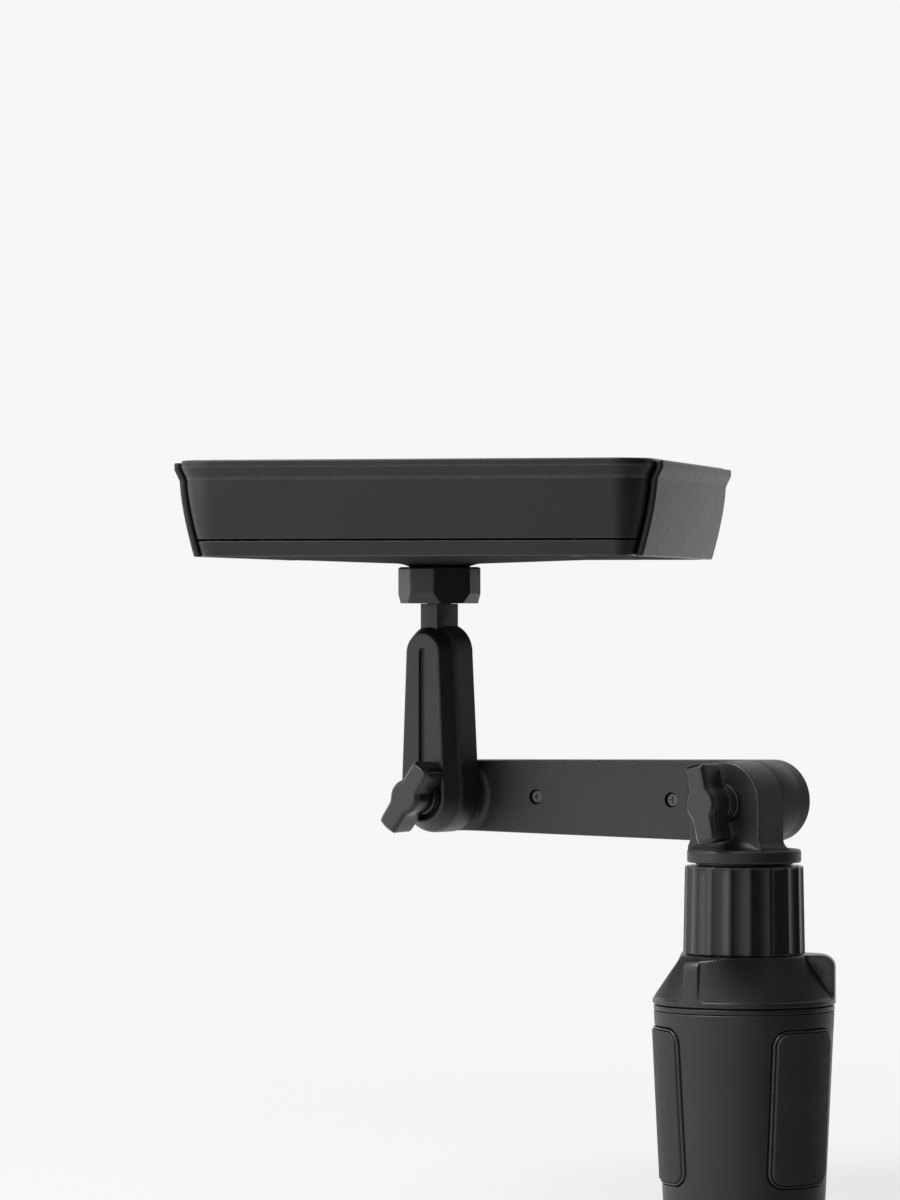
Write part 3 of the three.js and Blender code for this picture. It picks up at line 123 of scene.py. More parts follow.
def add_piece(name, skins, material, body, nodes, crease=CREASE):
    """One mesh object from closed skins, riding on a body in place of the named solids."""
    points, edge_wear_and_sheen, faces = joined(skins)
    mesh = new_mesh(name, points, faces)
    # Edge wear and painted edge sheen per point: the materials paint these edges lighter and make them
    # glossier
    wear_and_sheen = mesh.attributes.new("wear_and_sheen", "FLOAT", "POINT")
    wear_and_sheen.data.foreach_set("value", edge_wear_and_sheen.astype(np.float32))
    mesh.shade_smooth()
    mesh.set_sharp_from_angle(angle=math.radians(crease))
    mesh.materials.append(material)
    piece = linked(name, mesh)
    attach(piece, body)
    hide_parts(*nodes)
    print(f"{name}: {len(mesh.vertices)} points, {len(faces)} faces")
    return piece


# %% [markdown]
# Moulded plastic has no knife edges. `eased` rounds each corner of a profile with a short curve, with one
# extra point just before and after it, so that the flat faces beside the corner stay flat when shaded.

# %% Rounded profiles
def eased(corners, ease, steps=4, closed=False):
    """Profile with rounded corners. At a corner c, with unit directions u and v to its neighbours and an
    ease d, the curve is (1-t)^2 (c + d u) + 2 t (1-t) c + t^2 (c + d v). Returns points and, per point, the
    edge wear and painted edge sheen."""
    c = np.asarray(corners, float)
    d = np.array(np.broadcast_to(np.asarray(ease, float), len(c)))
    if not closed:
        d[[0, -1]] = 0
    back, ahead = np.roll(c, 1, 0) - c, np.roll(c, -1, 0) - c
    u = back / np.maximum(np.linalg.norm(back, axis=1, keepdims=True), 1e-9)
    v = ahead / np.maximum(np.linalg.norm(ahead, axis=1, keepdims=True), 1e-9)
    t = np.linspace(0, 1, steps + 1)[None, :, None]
    reach = d[:, None, None]
    curve = c[:, None] + reach * ((1 - t) ** 2 * u[:, None] + t ** 2 * v[:, None])
    lead = 1.25 * reach  # the extra points lie a quarter beyond the curve's ends
    before, after = c[:, None] + lead * u[:, None], c[:, None] + lead * v[:, None]
    points = np.concatenate([before, curve, after], 1).reshape(-1, c.shape[1])
    # 4t(1-t) across each rounded corner: edge wear and a painted sheen, shown by the materials as lighter
    # edges
    rub_and_sheen = np.pad((4 * t * (1 - t))[0, :, 0], 1)
    wear_and_sheen = ((d > 0)[:, None] * rub_and_sheen[None]).reshape(-1)
    keep = np.r_[True, np.linalg.norm(np.diff(points, axis=0), axis=1) > 1e-6]
    return points[keep], wear_and_sheen[keep]


def about_z(points, degrees):
    """Points turned about the upright axis: x' = x cos a - y sin a, y' = x sin a + y cos a."""
    c, s = math.cos(math.radians(degrees)), math.sin(math.radians(degrees))
    return points @ np.array([[c, s, 0.0], [-s, c, 0.0], [0.0, 0.0, 1.0]])


def turned(profile, count, axis="z", centre=(0.0, 0.0)):
    """Rings of a turned piece: (r cos a, r sin a) about the axis, at the height that the profile gives."""
    angle = np.linspace(0, 2 * math.pi, count, endpoint=False)
    r, h = profile[:, :1], np.broadcast_to(profile[:, 1:], (len(profile), count))
    p, q = r * np.cos(angle) + centre[0], r * np.sin(angle) + centre[1]
    return np.stack([p, q, h], -1) if axis == "z" else np.stack([p, h, q], -1)


def band(inner, outer, start, end, ease, steps=4, closed=False):
    """Eased profile of a box: out from inner to outer at the start, along to the end, and back in."""
    return eased([(inner, start), (outer, start), (outer, end), (inner, end)], ease, steps, closed)


def polar(r, angle, z):
    """Points (r cos a, r sin a, z), with the three arrays spread to one shape."""
    r, angle, z = np.broadcast_arrays(r, angle, z)
    return np.stack([r * np.cos(angle), r * np.sin(angle), z], -1)


def at_heights(plan, height):
    """Flat outlines of shape (rows, cols, 2), each row lifted to its own height."""
    rise = np.broadcast_to(np.reshape(height, (-1, 1, 1)), plan.shape[:2] + (1,))
    return np.concatenate([plan, rise], -1)


# %% [markdown]
# ## Black plastics
# Almost everything is one black, semi-matt plastic with a spark-eroded mould grain. Its colour is nearly
# flat, so the look comes from the grain in the bump, from patches that are a little more or less glossy,
# and from corners that are polished by handling and painted a little lighter, a painted sheen where edges
# catch the light. One function mixes these for each finish.

# %% Plastic, rubber and metal finishes
def fill(tree, socket, value):
    """Sets a socket to a value, or links another socket to it."""
    if isinstance(value, bpy.types.NodeSocket):
        tree.links.new(value, socket)
    else:
        socket.default_value = value


def node(tree, kind, **values):
    """A node of a kind with its sockets filled in by name."""
    made = tree.nodes.new(kind)
    for key, value in values.items():
        fill(tree, made.inputs[key.replace("_", " ")], value)
    return made


def chain(tree, operation, *values, kind="ShaderNodeMath"):
    """Result of a maths node whose inputs are values or sockets."""
    made = tree.nodes.new(kind)
    made.operation = operation
    for socket, value in zip(made.inputs, values):
        fill(tree, socket, value)
    return made.outputs["Vector" if operation == "NORMALIZE" else "Value"]


def ramp(tree, source, low, high, start=0.3, end=0.7):
    """Map Range that carries a value between start and end onto low to high."""
    made = node(tree, "ShaderNodeMapRange", Value=source, From_Min=start, From_Max=end,
                To_Min=low, To_Max=high)
    return made.outputs["Result"]


def noise(tree, place, scale, detail=4.0, rough=0.55):
    """Noise texture in object space, whose scale counts cells per metre."""
    made = node(tree, "ShaderNodeTexNoise", Vector=place, Scale=scale, Detail=detail, Roughness=rough)
    return made.outputs["Fac"]


def mix(tree, share, first, second):
    """Mix of two colours by a share."""
    made = tree.nodes.new("ShaderNodeMix")
    made.data_type = "RGBA"
    for key, value in (("Factor", share), ("A", first), ("B", second)):
        fill(tree, made.inputs[key], value)
    return made.outputs["Result"]


CLOUDS, SCUFFS = 45.0, 420.0  # cells per metre of the colour patches and of the glossy patches
RUB_GLOSS = -0.12  # change of roughness where an edge is fully worn
GRAIN_HEIGHT = 0.0002  # metres


def moulded(name, dark, light, gloss, grain, depth, rub_and_sheen=(0.05, 0.05, 0.05), metal=0.0, specular=0.5):
    """Finish between two colours and two roughness values, with a grain of that many cells per metre."""
    material = bpy.data.materials.new(name)
    material.use_nodes = True
    tree = material.node_tree
    place = tree.nodes.new("ShaderNodeTexCoord").outputs["Object"]
    edge_wear_and_sheen = tree.nodes.new("ShaderNodeAttribute")
    edge_wear_and_sheen.attribute_name = "wear_and_sheen"
    scuff = noise(tree, place, SCUFFS, 6.0, 0.7)
    # Share of edge wear and painted sheen: the rounded edges, broken up by the scuff noise
    patchy_wear_and_sheen = chain(tree, "MULTIPLY", edge_wear_and_sheen.outputs["Fac"], ramp(tree, scuff, 0.15, 0.75))
    colour = mix(tree, ramp(tree, noise(tree, place, CLOUDS), 0.0, 1.0), (*dark, 1), (*light, 1))
    bump = node(tree, "ShaderNodeBump", Height=noise(tree, place, grain, 2.0), Strength=depth,
                Distance=GRAIN_HEIGHT)
    # There the edges turn glossier and their colour moves to the lighter edge colour: a painted highlight on
    # the edges, besides the polish
    looks = {"Metallic": metal, "Specular IOR Level": specular, "Normal": bump.outputs["Normal"],
             "Base Color": mix(tree, patchy_wear_and_sheen, colour, (*rub_and_sheen, 1)),
             "Roughness": chain(tree, "MULTIPLY_ADD", patchy_wear_and_sheen, RUB_GLOSS, ramp(tree, scuff, *gloss))}
    for key, value in looks.items():
        fill(tree, tree.nodes["Principled BSDF"].inputs[key], value)
    return material


black = moulded("moulded_black", (0.0062, 0.0062, 0.0066), (0.0090, 0.0090, 0.0095), (0.38, 0.48),
                2600, 0.22)
grip = moulded("satin_black", (0.0060, 0.0060, 0.0064), (0.0088, 0.0088, 0.0093), (0.30, 0.40), 3200, 0.12)
polished = moulded("polished_black", (0.0058, 0.0058, 0.0062), (0.0084, 0.0084, 0.0090), (0.20, 0.28),
                   3200, 0.06)
# A rough, barely reflective copy of the black plastic: painted shade for the faces under the tray
shaded_underside = moulded("shaded_underside_black", (0.0080, 0.0080, 0.0085), (0.0115, 0.0115, 0.0120), (0.75, 0.90),
                1400, 0.40, specular=0.08)
inner = moulded("inner_grey", (0.0160, 0.0160, 0.0170), (0.0240, 0.0240, 0.0250), (0.45, 0.60), 1800, 0.25)
rubber = moulded("pad_rubber", (0.0095, 0.0095, 0.0095), (0.0135, 0.0135, 0.0135), (0.55, 0.70), 3600, 0.45,
                 rub_and_sheen=(0.02, 0.02, 0.02), specular=0.45)
steel = moulded("dark_steel", (0.055, 0.055, 0.058), (0.09, 0.09, 0.094), (0.28, 0.42), 5000, 0.10,
                rub_and_sheen=(0.3, 0.3, 0.3), metal=1.0)
brass = moulded("turned_brass", (0.42, 0.29, 0.10), (0.55, 0.40, 0.16), (0.22, 0.38), 4000, 0.10,
                rub_and_sheen=(0.7, 0.55, 0.25), metal=1.0)
print("finishes:", [m.name for m in (black, grip, polished, shaded_underside, inner, rubber, steel, brass)])

# %% [markdown]
# The fasteners, the column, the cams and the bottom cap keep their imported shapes, which are plain turned or
# cut forms on the real thing too. They only change their material: dark steel screws, brass inserts, grey
# inner plastic.

# %% Finishes of the solids that stay
KEPT = [(steel, ["arm_screw_1", "arm_screw_2", "lower_hinge_bolt", "upper_hinge_bolt", "pivot_stud"]
         + [f"cap_screw_{n}" for n in (1, 2, 3)] + [f"tray_screw_{n}" for n in (1, 2, 3, 4)]),
        (brass, ["lower_knob_insert", "upper_knob_insert"]),
        (inner, ["center_column", "drive_sleeve", "upper_cam", "lower_cam"]),
        (black, ["base_bottom_cap"])]
for finish, names in KEPT:
    for name in names:
        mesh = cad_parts[name].data
        mesh.materials.clear()
        mesh.materials.append(finish)
print("solids kept:", sum(len(names) for _, names in KEPT))

# %% [markdown]
# ## Base body
# The body is a tapered tube with three windows for the jaws. Cutting windows with a Boolean would leave
# long thin faces on the curved wall. Instead each third of the wall is one patch: its rings start at the
# third's border, shrink to the window's outline, turn round the edge and come back on the inside.

# %% Outline with round corners
def rectangle(half_x, half_y, corner, arc=8, side=0):
    """Rounded rectangles, one per row of the given sizes: quarter circles about (+-(a-r), +-(b-r)), with
    `side` points along each straight. Starts at the middle of the first corner, runs anticlockwise."""
    sizes = [np.reshape(np.asarray(v, float), (-1, 1, 1)) for v in (half_x, half_y, corner)]
    half_x, half_y, corner = np.broadcast_arrays(*sizes)
    angle = np.linspace(0, math.pi / 2, arc + 1) + math.pi / 2 * np.arange(4)[:, None]
    sign_x, sign_y = np.array([1, -1, -1, 1])[:, None], np.array([1, 1, -1, -1])[:, None]
    x = (half_x - corner) * sign_x + corner * np.cos(angle)
    y = (half_y - corner) * sign_y + corner * np.sin(angle)
    arcs = np.stack([x, y], -1)
    share = np.linspace(0, 1, side + 2)[1:-1, None]
    straight = arcs[:, :, -1:] * (1 - share) + np.roll(arcs, -1, 1)[:, :, :1] * share
    rings = np.concatenate([arcs, straight], 2).reshape(len(arcs), -1, 2)
    return np.roll(rings, -(arc // 2), 1)


# %% Wall of the base body
BODY_HEIGHT, FOOT_R, TOP_R, WALL = 80.4, 28.5, 32.35, 2.6
FOOT_CHAMFER, HOLE_R = 1.2, 9.7
LOW_Z, TOP_Z, DECK_Z = 1.6, BODY_HEIGHT - 0.5, BODY_HEIGHT - 3.0  # heights where patches meet
THIRD = 60  # degrees from a window's middle to the border of its third
JAW_ANGLES = (-34.3, 85.7, 205.7)
JAW_HALF_W, JAW_Z0, JAW_Z1, JAW_CORNER = 14.5, 19.0, 74.8, 5.5
JAW_MID, JAW_HALF_H = (JAW_Z0 + JAW_Z1) / 2, (JAW_Z1 - JAW_Z0) / 2
GAP = 0.4


def body_radius(z):
    """Outer radius of the taper, in proportion to the height."""
    return FOOT_R + (TOP_R - FOOT_R) * z / BODY_HEIGHT


def on_taper(y, z, depth):
    """Point at sideways distance y and height z, `depth` below the taper: x = sqrt(r^2 - y^2)."""
    r = body_radius(z) - depth
    return np.stack([np.sqrt(np.maximum(r * r - y * y, 0)), y + 0 * r, z + 0 * r], -1)


def wall_third(sides=22, arc=12, rows=6, margin=2.0):
    """Patch of one third of the wall: rings from the border to the window and back on the inside."""
    profile, wear_and_sheen = band(margin, 0.0, 0.0, WALL, 0.45, 3)
    grow, depth = profile[:, :1], profile[:, 1:]
    edge = rectangle(JAW_HALF_W + GAP + grow, JAW_HALF_H + GAP + grow, JAW_CORNER + GAP + grow, arc, sides)
    y, z = edge[..., 0], edge[..., 1] + JAW_MID
    turn = np.arcsin(y / (body_radius(z) - depth))
    count = edge.shape[1] // 4
    step = np.linalg.norm(np.diff(edge[0, :count + 1], axis=0), axis=1)
    share = np.r_[0.0, np.cumsum(step)[:-1]] / step.sum()

    def border(top):
        corner = np.array([[THIRD, top], [-THIRD, top], [-THIRD, LOW_Z], [THIRD, LOW_Z]], float)
        corner[:, 0] = np.radians(corner[:, 0])
        ahead = np.roll(corner, -1, 0)
        return (corner[:, None] + (ahead - corner)[:, None] * share[None, :, None]).reshape(-1, 2)

    def spread(window, outer, lining):
        t = np.linspace(1, 0, rows + 1)[:-1, None]
        back = t[::-1]
        return np.concatenate([t * outer + (1 - t) * window[0], window,
                               (1 - back) * window[-1] + back * lining])

    outer, lining = border(TOP_Z), border(DECK_Z)
    turns = spread(turn, outer[:, 0], lining[:, 0])
    heights = spread(z, outer[:, 1], lining[:, 1])
    plain = np.zeros((rows, 1))
    depths = np.concatenate([plain, depth, plain + WALL])
    edge_wear_and_sheen = np.concatenate([plain[:, 0], wear_and_sheen, plain[:, 0]])
    return polar(body_radius(heights) - depths, turns, heights), edge_wear_and_sheen, share


def base_body():
    """Three wall patches with a turned foot ring below and a turned deck above, joined where they meet."""
    third, edge_wear_and_sheen, share = wall_third()
    angle = (np.radians(np.array(JAW_ANGLES))[:, None] + np.radians(-THIRD + 2 * THIRD * share)).reshape(-1)
    foot, foot_wear_and_sheen = eased([(body_radius(LOW_Z) - WALL, LOW_Z), (FOOT_R - WALL, 0),
                             (FOOT_R - FOOT_CHAMFER, 0), (body_radius(LOW_Z), LOW_Z)], [0, 0.2, 0.7, 0])
    lid, lid_wear_and_sheen = eased([(body_radius(TOP_Z), TOP_Z), (TOP_R, BODY_HEIGHT), (HOLE_R, BODY_HEIGHT),
                           (HOLE_R, DECK_Z), (body_radius(DECK_Z) - WALL, DECK_Z)],
                          [0, 0.4, 0.3, 0.2, 0])
    rings = [(about_z(third, a), edge_wear_and_sheen) for a in JAW_ANGLES]
    rings += [(polar(p[:, :1], angle, p[:, 1:]), rub_and_sheen) for p, rub_and_sheen in ((foot, foot_wear_and_sheen), (lid, lid_wear_and_sheen))]
    points, wear_and_sheen, faces, start = [], [], [], 0
    for grid, rub_and_sheen in rings:
        rows, cols = grid.shape[:2]
        faces.append(grid_faces(rows, cols) + start)
        points.append(grid.reshape(-1, 3))
        wear_and_sheen.append(np.repeat(rub_and_sheen, cols))
        start += rows * cols
    points, wear_and_sheen, faces = np.concatenate(points), np.concatenate(wear_and_sheen), np.concatenate(faces)
    _, first, same = np.unique(np.round(points, 4), axis=0, return_index=True, return_inverse=True)
    return points[first], wear_and_sheen[first], same.reshape(-1)[faces].tolist()


add_piece("base_shell", [base_body()], black, "base", ["base_body"])

# %% [markdown]
# ## Jaws and pads
# Each jaw is a curved plate in its window, with a rim round a soft pad. Behind the plate two webs carry the
# pins that run in the cam slots. Plate and pad follow the same taper as the body, so both are patches of
# the taper: an outline that shrinks to a line in the middle, at a depth that the profile gives.

# %% Patches of the taper and blocks
def taper_patch(profile, wear_and_sheen, fill=(0.75, 0.5, 0.25, 0.04), sides=12):
    """Closed plate on the taper. The profile lists (grow, depth) round the edge, from the middle of one
    face to the middle of the other; each face is filled by outlines scaled towards its centre line."""
    grow, depth = profile[:, :1], profile[:, 1:]
    edge = rectangle(JAW_HALF_W + grow, JAW_HALF_H + grow, np.maximum(JAW_CORNER + grow, 0.5), 8, sides)
    scale = np.array(fill)[:, None, None]
    rings = np.concatenate([(edge[:1] * scale)[::-1], edge, edge[-1:] * scale])
    depths = np.concatenate([0 * scale[:, :, 0] + depth[0], depth, 0 * scale[:, :, 0] + depth[-1]])
    rub_and_sheen = np.concatenate([0 * scale[:, 0, 0], wear_and_sheen, 0 * scale[:, 0, 0]])
    return skin(on_taper(rings[..., 0], rings[..., 1] + JAW_MID, depths), rub_and_sheen)


def bar_block(x0, x1, y0, y1, z0, z1, ease=0.3, corner=0.9):
    """Upright block with eased edges: rounded rectangles that draw in at both ends."""
    profile, wear_and_sheen = band(2 * ease, 0, z0, z1, ease, 3)
    inset = profile[:, 0]
    ring = rectangle((x1 - x0) / 2 - inset, (y1 - y0) / 2 - inset, np.maximum(corner - inset, 0.1), 4)
    return skin(at_heights(ring, profile[:, 1]) + np.array([(x0 + x1) / 2, (y0 + y1) / 2, 0]), wear_and_sheen)


def placed(part, degrees):
    """The same skin turned about the upright axis."""
    return about_z(part[0], degrees), part[1], part[2]


# %% Jaw plates, webs and pads
PIN_R, PIN_RING_R, PIN_ENDS = 2.0, 12.98, ((60.0, 64.3), (31.7, 36.0))
# Inner end, outer end, half width, foot and top of the two webs and of the spine between them
WEBS = ((10.1, 27.9, 4.5, 56.7, 60.7), (10.1, 26.9, 4.5, 35.3, 39.3), (17.0, 27.0, 1.5, 36.0, 60.0))

# A negative depth stands proud of the body
plate, plate_wear_and_sheen = eased([(-1.3, 0.7), (-0.7, 0.7), (-0.7, -0.5), (0, -0.5), (0, 3.6), (-2.4, 3.6)],
                          [0, 0.05, 0.2, 0.3, 0.3, 0], 3)
pad, pad_wear_and_sheen = band(-3.2, -1.0, -1.0, 0.4, [0, 0.55, 0.2, 0])
jaw_parts = [taper_patch(plate, plate_wear_and_sheen)]
jaw_parts += [bar_block(x0, x1, -half, half, z0, z1) for x0, x1, half, z0, z1 in WEBS]
for low, high in PIN_ENDS:
    pin, pin_wear_and_sheen = band(0.4, PIN_R, low, high, 0.35, 3)
    jaw_parts.append(skin(turned(pin, 24, centre=(PIN_RING_R, 0.0)), pin_wear_and_sheen))
pad_part = taper_patch(pad, pad_wear_and_sheen)
for number, (letter, degrees) in enumerate(zip("abc", JAW_ANGLES), 1):
    add_piece(f"jaw_plate_{letter}", [placed(p, degrees) for p in jaw_parts], grip, f"jaw_{letter}",
              [f"jaw_{number}"])
    add_piece(f"jaw_cushion_{letter}", [placed(pad_part, degrees)], rubber, f"jaw_{letter}",
              [f"jaw_pad_{number}"])

# %% [markdown]
# ## Expander dial
# The dial is a round cap with three finger scoops. Each scoop begins as a shallow step, deepens into a cone
# and ends at a steep wall that a finger can push. Cutting it with Booleans would spoil the fine ribs, so
# every point is found on a ray from a pole inside the dial: first its distance to the cap, then, inside a
# scoop, less the depth of the cone. The slanted ribs are real ridges, so they show in the silhouette too.

# %% Dial with ribbed scoops
DIAL_Z0, DIAL_Z1, DIAL_R, DIAL_BORE_R = 80.7, 100.4, 32.8, 6.0
SHOULDER_W, SHOULDER_H = 4.4, 4.2
SCOOP_FOOT, SCOOP_TOP_R, SCOOP_FOOT_R = 84.7, 22.0, 32.6
SCOOP_START, SCOOP_SPAN = math.radians(-56.3 - 54.0), math.radians(108.0)
SCOOP_STEP = 0.12  # depth at a scoop's shallow end, as a share of the full depth
SCOOP_MID_R, SCOOP_TALL, CONE_LENGTH = DIAL_R * 0.87, 19.4, 18.9
RIB_HEIGHT, RIB_PITCH, RIB_SLANT = 0.12, 0.9, (0.68, 0.73)
POLE_R = 14.0


def along(points, count):
    """Points evenly spread along a polyline, found by interpolating over its length."""
    length = np.r_[0, np.cumsum(np.linalg.norm(np.diff(points, axis=0), axis=1))]
    spot = np.linspace(0, length[-1], count)
    return np.stack([np.interp(spot, length, points[:, k]) for k in range(2)], -1)


def smooth(t):
    """Smooth step 3t^2 - 2t^3 between 0 and 1."""
    t = np.clip(t, 0, 1)
    return t * t * (3 - 2 * t)


def from_pole(points):
    """Direction and distance of (r, z) points from the pole."""
    off = points - np.array([POLE_R, SCOOP_FOOT])
    return np.arctan2(off[:, 1], off[:, 0]), np.hypot(off[:, 0], off[:, 1])


def scoop_mask(side, rise, corner=3.0, blur=0.5, border=0.8):
    """1 inside a scoop and 0 outside: a box with round corners, by its signed distance. The second value
    stays 0 near the edge, where the ribs end."""
    half, tall = SCOOP_MID_R * SCOOP_SPAN / 2, SCOOP_TALL / 2
    q = np.stack(np.broadcast_arrays(np.abs(side - half) - half, np.abs(rise - tall) - tall), -1) + corner
    distance = np.linalg.norm(np.maximum(q, 0), axis=-1) + np.minimum(q.max(-1), 0) - corner
    return smooth(0.5 - distance / blur), np.clip(-distance / border - 0.5, 0, 1)


def dial(columns=800, rows=70):
    """On the ray at angle p the cap is at distance c(p), and the cone, whose radius falls by k for each
    unit of height, is at a / (cos p + k sin p). The slope k grows along the scoop. Ribs add a sine of the
    slanted distance across the scoop."""
    foot, foot_wear_and_sheen = eased([(DIAL_BORE_R, DIAL_Z0), (DIAL_R - 0.4, DIAL_Z0), (DIAL_R - 0.4, 82.3),
                             (DIAL_R - 1.6, 82.7), (DIAL_R, 83.1), (DIAL_R, SCOOP_FOOT)],
                            [0, 0.3, 0.2, 0.1, 0.25, 0], 3)
    quarter = np.linspace(0, math.pi / 2, 13)
    shoulder = np.stack([DIAL_R - SHOULDER_W + SHOULDER_W * np.cos(quarter),
                         DIAL_Z1 - SHOULDER_H + SHOULDER_H * np.sin(quarter)], -1)
    cap = along(np.concatenate([[[DIAL_R, SCOOP_FOOT]], shoulder, [[POLE_R + 2, DIAL_Z1]]]), 300)
    cap_ray, cap_reach = from_pole(cap)
    cone = along(np.array([[SCOOP_FOOT_R, SCOOP_FOOT], [SCOOP_TOP_R, DIAL_Z1]]), rows)
    ray = from_pole(cone)[0]
    ray = np.r_[ray, np.linspace(ray[-1], cap_ray[-1], 4)[1:]][:, None]
    reach = np.interp(ray, cap_ray, cap_reach)
    angle = np.linspace(0, 2 * math.pi, columns, endpoint=False)
    off = (angle - SCOOP_START) % (2 * math.pi / 3)
    depth = SCOOP_STEP + (1 - SCOOP_STEP) * smooth(off / SCOOP_SPAN / 0.5)
    slope = (SCOOP_FOOT_R - SCOOP_TOP_R) * depth / (DIAL_Z1 - SCOOP_FOOT)
    scoop = (SCOOP_FOOT_R - POLE_R) / (np.cos(ray) + slope * np.sin(ray))
    side = SCOOP_MID_R * off[None]
    slant = np.minimum(np.arange(len(ray)), rows - 1)[:, None] * CONE_LENGTH / (rows - 1)
    mask, within = scoop_mask(side, slant)
    cut_in = np.maximum(reach - scoop, 0)
    across = RIB_SLANT[0] * side + RIB_SLANT[1] * slant
    ribs = RIB_HEIGHT * np.sin(2 * math.pi * across / RIB_PITCH) * within * np.clip(cut_in, 0, 1)
    d = reach - mask * cut_in + ribs
    low = np.broadcast_to(foot[:, None], (len(foot), columns, 2))
    mid = np.stack([POLE_R + d * np.cos(ray), SCOOP_FOOT + d * np.sin(ray)], -1)
    end = np.broadcast_to(np.array([DIAL_BORE_R, DIAL_Z1]), (1, columns, 2))
    r, z = np.concatenate([low, mid, end]).transpose(2, 0, 1)
    # Edge wear and painted sheen along the scoops' rims, where the material paints the edge lighter
    edge = 4 * mask * (1 - mask) * np.clip(cut_in, 0, 1)
    wear_and_sheen = np.concatenate([np.repeat(foot_wear_and_sheen[:, None], columns, 1), edge, np.zeros((1, columns))])
    points, _, faces = skin(polar(r, angle, z), loop=True)
    return points, wear_and_sheen.reshape(-1), faces


add_piece("dial_cap", [dial()], grip, "dial", ["expander_dial"], crease=50)

# %% [markdown]
# ## Lock collar
# A ring with eighteen shallow flutes for the fingers. It is a turned ring whose radius dips in each flute;
# the flutes run out just below the top edge.

# %% Fluted collar
COLLAR_Z0, COLLAR_Z1, COLLAR_R, COLLAR_TOP_R, COLLAR_BORE_R = 100.7, 132.3, 21.85, 21.25, 16.5
FLUTES, FLUTE_DEPTH, FLUTE_HALF, FLUTE_TURN = 18, 0.9, 0.44, math.radians(4.0)


def collar(columns=720, rows=12, margin=1.2):
    """Radius R(z) less a flute depth: each flute is a shallow arc across its share of the circle."""
    rise = np.linspace(COLLAR_Z0 + margin, COLLAR_Z1 - margin, rows)
    share = (rise - COLLAR_Z0) / (COLLAR_Z1 - COLLAR_Z0)
    side = np.stack([COLLAR_R + (COLLAR_TOP_R - COLLAR_R) * share, rise], -1)
    corners = np.concatenate([[(COLLAR_BORE_R, COLLAR_Z0), (COLLAR_R, COLLAR_Z0)], side,
                              [(COLLAR_TOP_R, COLLAR_Z1), (COLLAR_BORE_R, COLLAR_Z1)]])
    profile, wear_and_sheen = eased(corners, np.r_[0, 0.6, np.zeros(rows), 0.7, 0], 4)
    angle = np.linspace(0, 2 * math.pi, columns, endpoint=False)
    across = ((angle + FLUTE_TURN) * FLUTES / (2 * math.pi) + 0.5) % 1 - 0.5
    dip = np.clip(1 - (across / FLUTE_HALF) ** 2, 0, 1)
    r, z = profile[:, :1], profile[:, 1:]
    outside = r > (COLLAR_BORE_R + COLLAR_R) / 2
    return skin(polar(r - FLUTE_DEPTH * dip * smooth(COLLAR_Z1 - z) * outside, angle, z), wear_and_sheen, loop=True)


add_piece("collar_ring", [collar()], polished, "collar", ["lock_collar"])

# %% [markdown]
# ## Swivel bracket
# A flange turns on top of the collar and carries one round-topped ear. The ear is an arch outline with
# hollow fillets at its foot, carried from front to back, and held inside the flange's circle. In front a
# hollow strip leads from the ear out to the flange's rim, and a round seat carries the washer.

# %% Flange and ear
YAW = -23.3
HINGE_Z = 155.0
FLANGE_Z, FLANGE_TOP, FLANGE_R = 133.4, 138.2, 20.45
EAR_HALF, EAR_FRONT, EAR_BACK = 14.8, -13.1, 2.92
STRIP_HALF, STRIP_Y, STRIP_RIM_R = 14.3, -13.0, FLANGE_R - 0.5


def arch(inset, half=EAR_HALF, fillet=4.0, foot=FLANGE_TOP - HINGE_Z, arc=28):
    """Arch outlines, one per inset: a half circle, straight sides, and quarter circles that hollow out to
    the foot. Edges draw in by the inset, and the outline closes a little below the foot."""
    inset = np.reshape(inset, (-1, 1))
    top = np.linspace(0, math.pi, arc)
    bend = np.linspace(math.pi / 2, 0, 9)
    hollow = fillet + inset
    right = np.stack([half + fillet - hollow * np.cos(bend), foot + fillet - hollow * np.sin(bend)], -1)
    over = np.stack([(half - inset) * np.cos(top), (half - inset) * np.sin(top)], -1)
    left = right[:, ::-1] * np.array([-1, 1])
    feet = np.array([-1, 1]) * (half + fillet) + 0 * inset
    low = np.stack([feet, np.full_like(feet, foot - 2.0)], -1)
    return np.concatenate([right, over, left, low], 1)


def carried(rings_xz, y):
    """Outlines in the (x, z) plane set at their own depth y, hinge height added."""
    depth = np.broadcast_to(np.reshape(y, (-1, 1)), rings_xz.shape[:2])
    return np.stack([rings_xz[..., 0], depth, rings_xz[..., 1] + HINGE_Z], -1)


def foot_strip(rise=7.0, count=41):
    """Hollow strip from the ear's front out to the flange's rim: at each x a quarter ellipse in (y, z),
    from the ear down to the rim's own depth there, closed 1 mm inside the ear and the flange."""
    x = np.linspace(-STRIP_HALF, STRIP_HALF, count)[:, None]
    reach = np.sqrt(STRIP_RIM_R ** 2 - x ** 2) + STRIP_Y
    rise = rise * reach / (STRIP_RIM_R + STRIP_Y)
    bend = np.linspace(0, math.pi / 2, 13)
    inside, sunk = np.full_like(reach, STRIP_Y + 1), np.full_like(reach, -1)
    y = np.concatenate([STRIP_Y - reach * (1 - np.cos(bend)), STRIP_Y - reach, inside, inside], 1)
    z = FLANGE_TOP + np.concatenate([rise * (1 - np.sin(bend)), sunk, sunk, rise], 1)
    return skin(np.stack([np.broadcast_to(x, y.shape), y, z], -1))


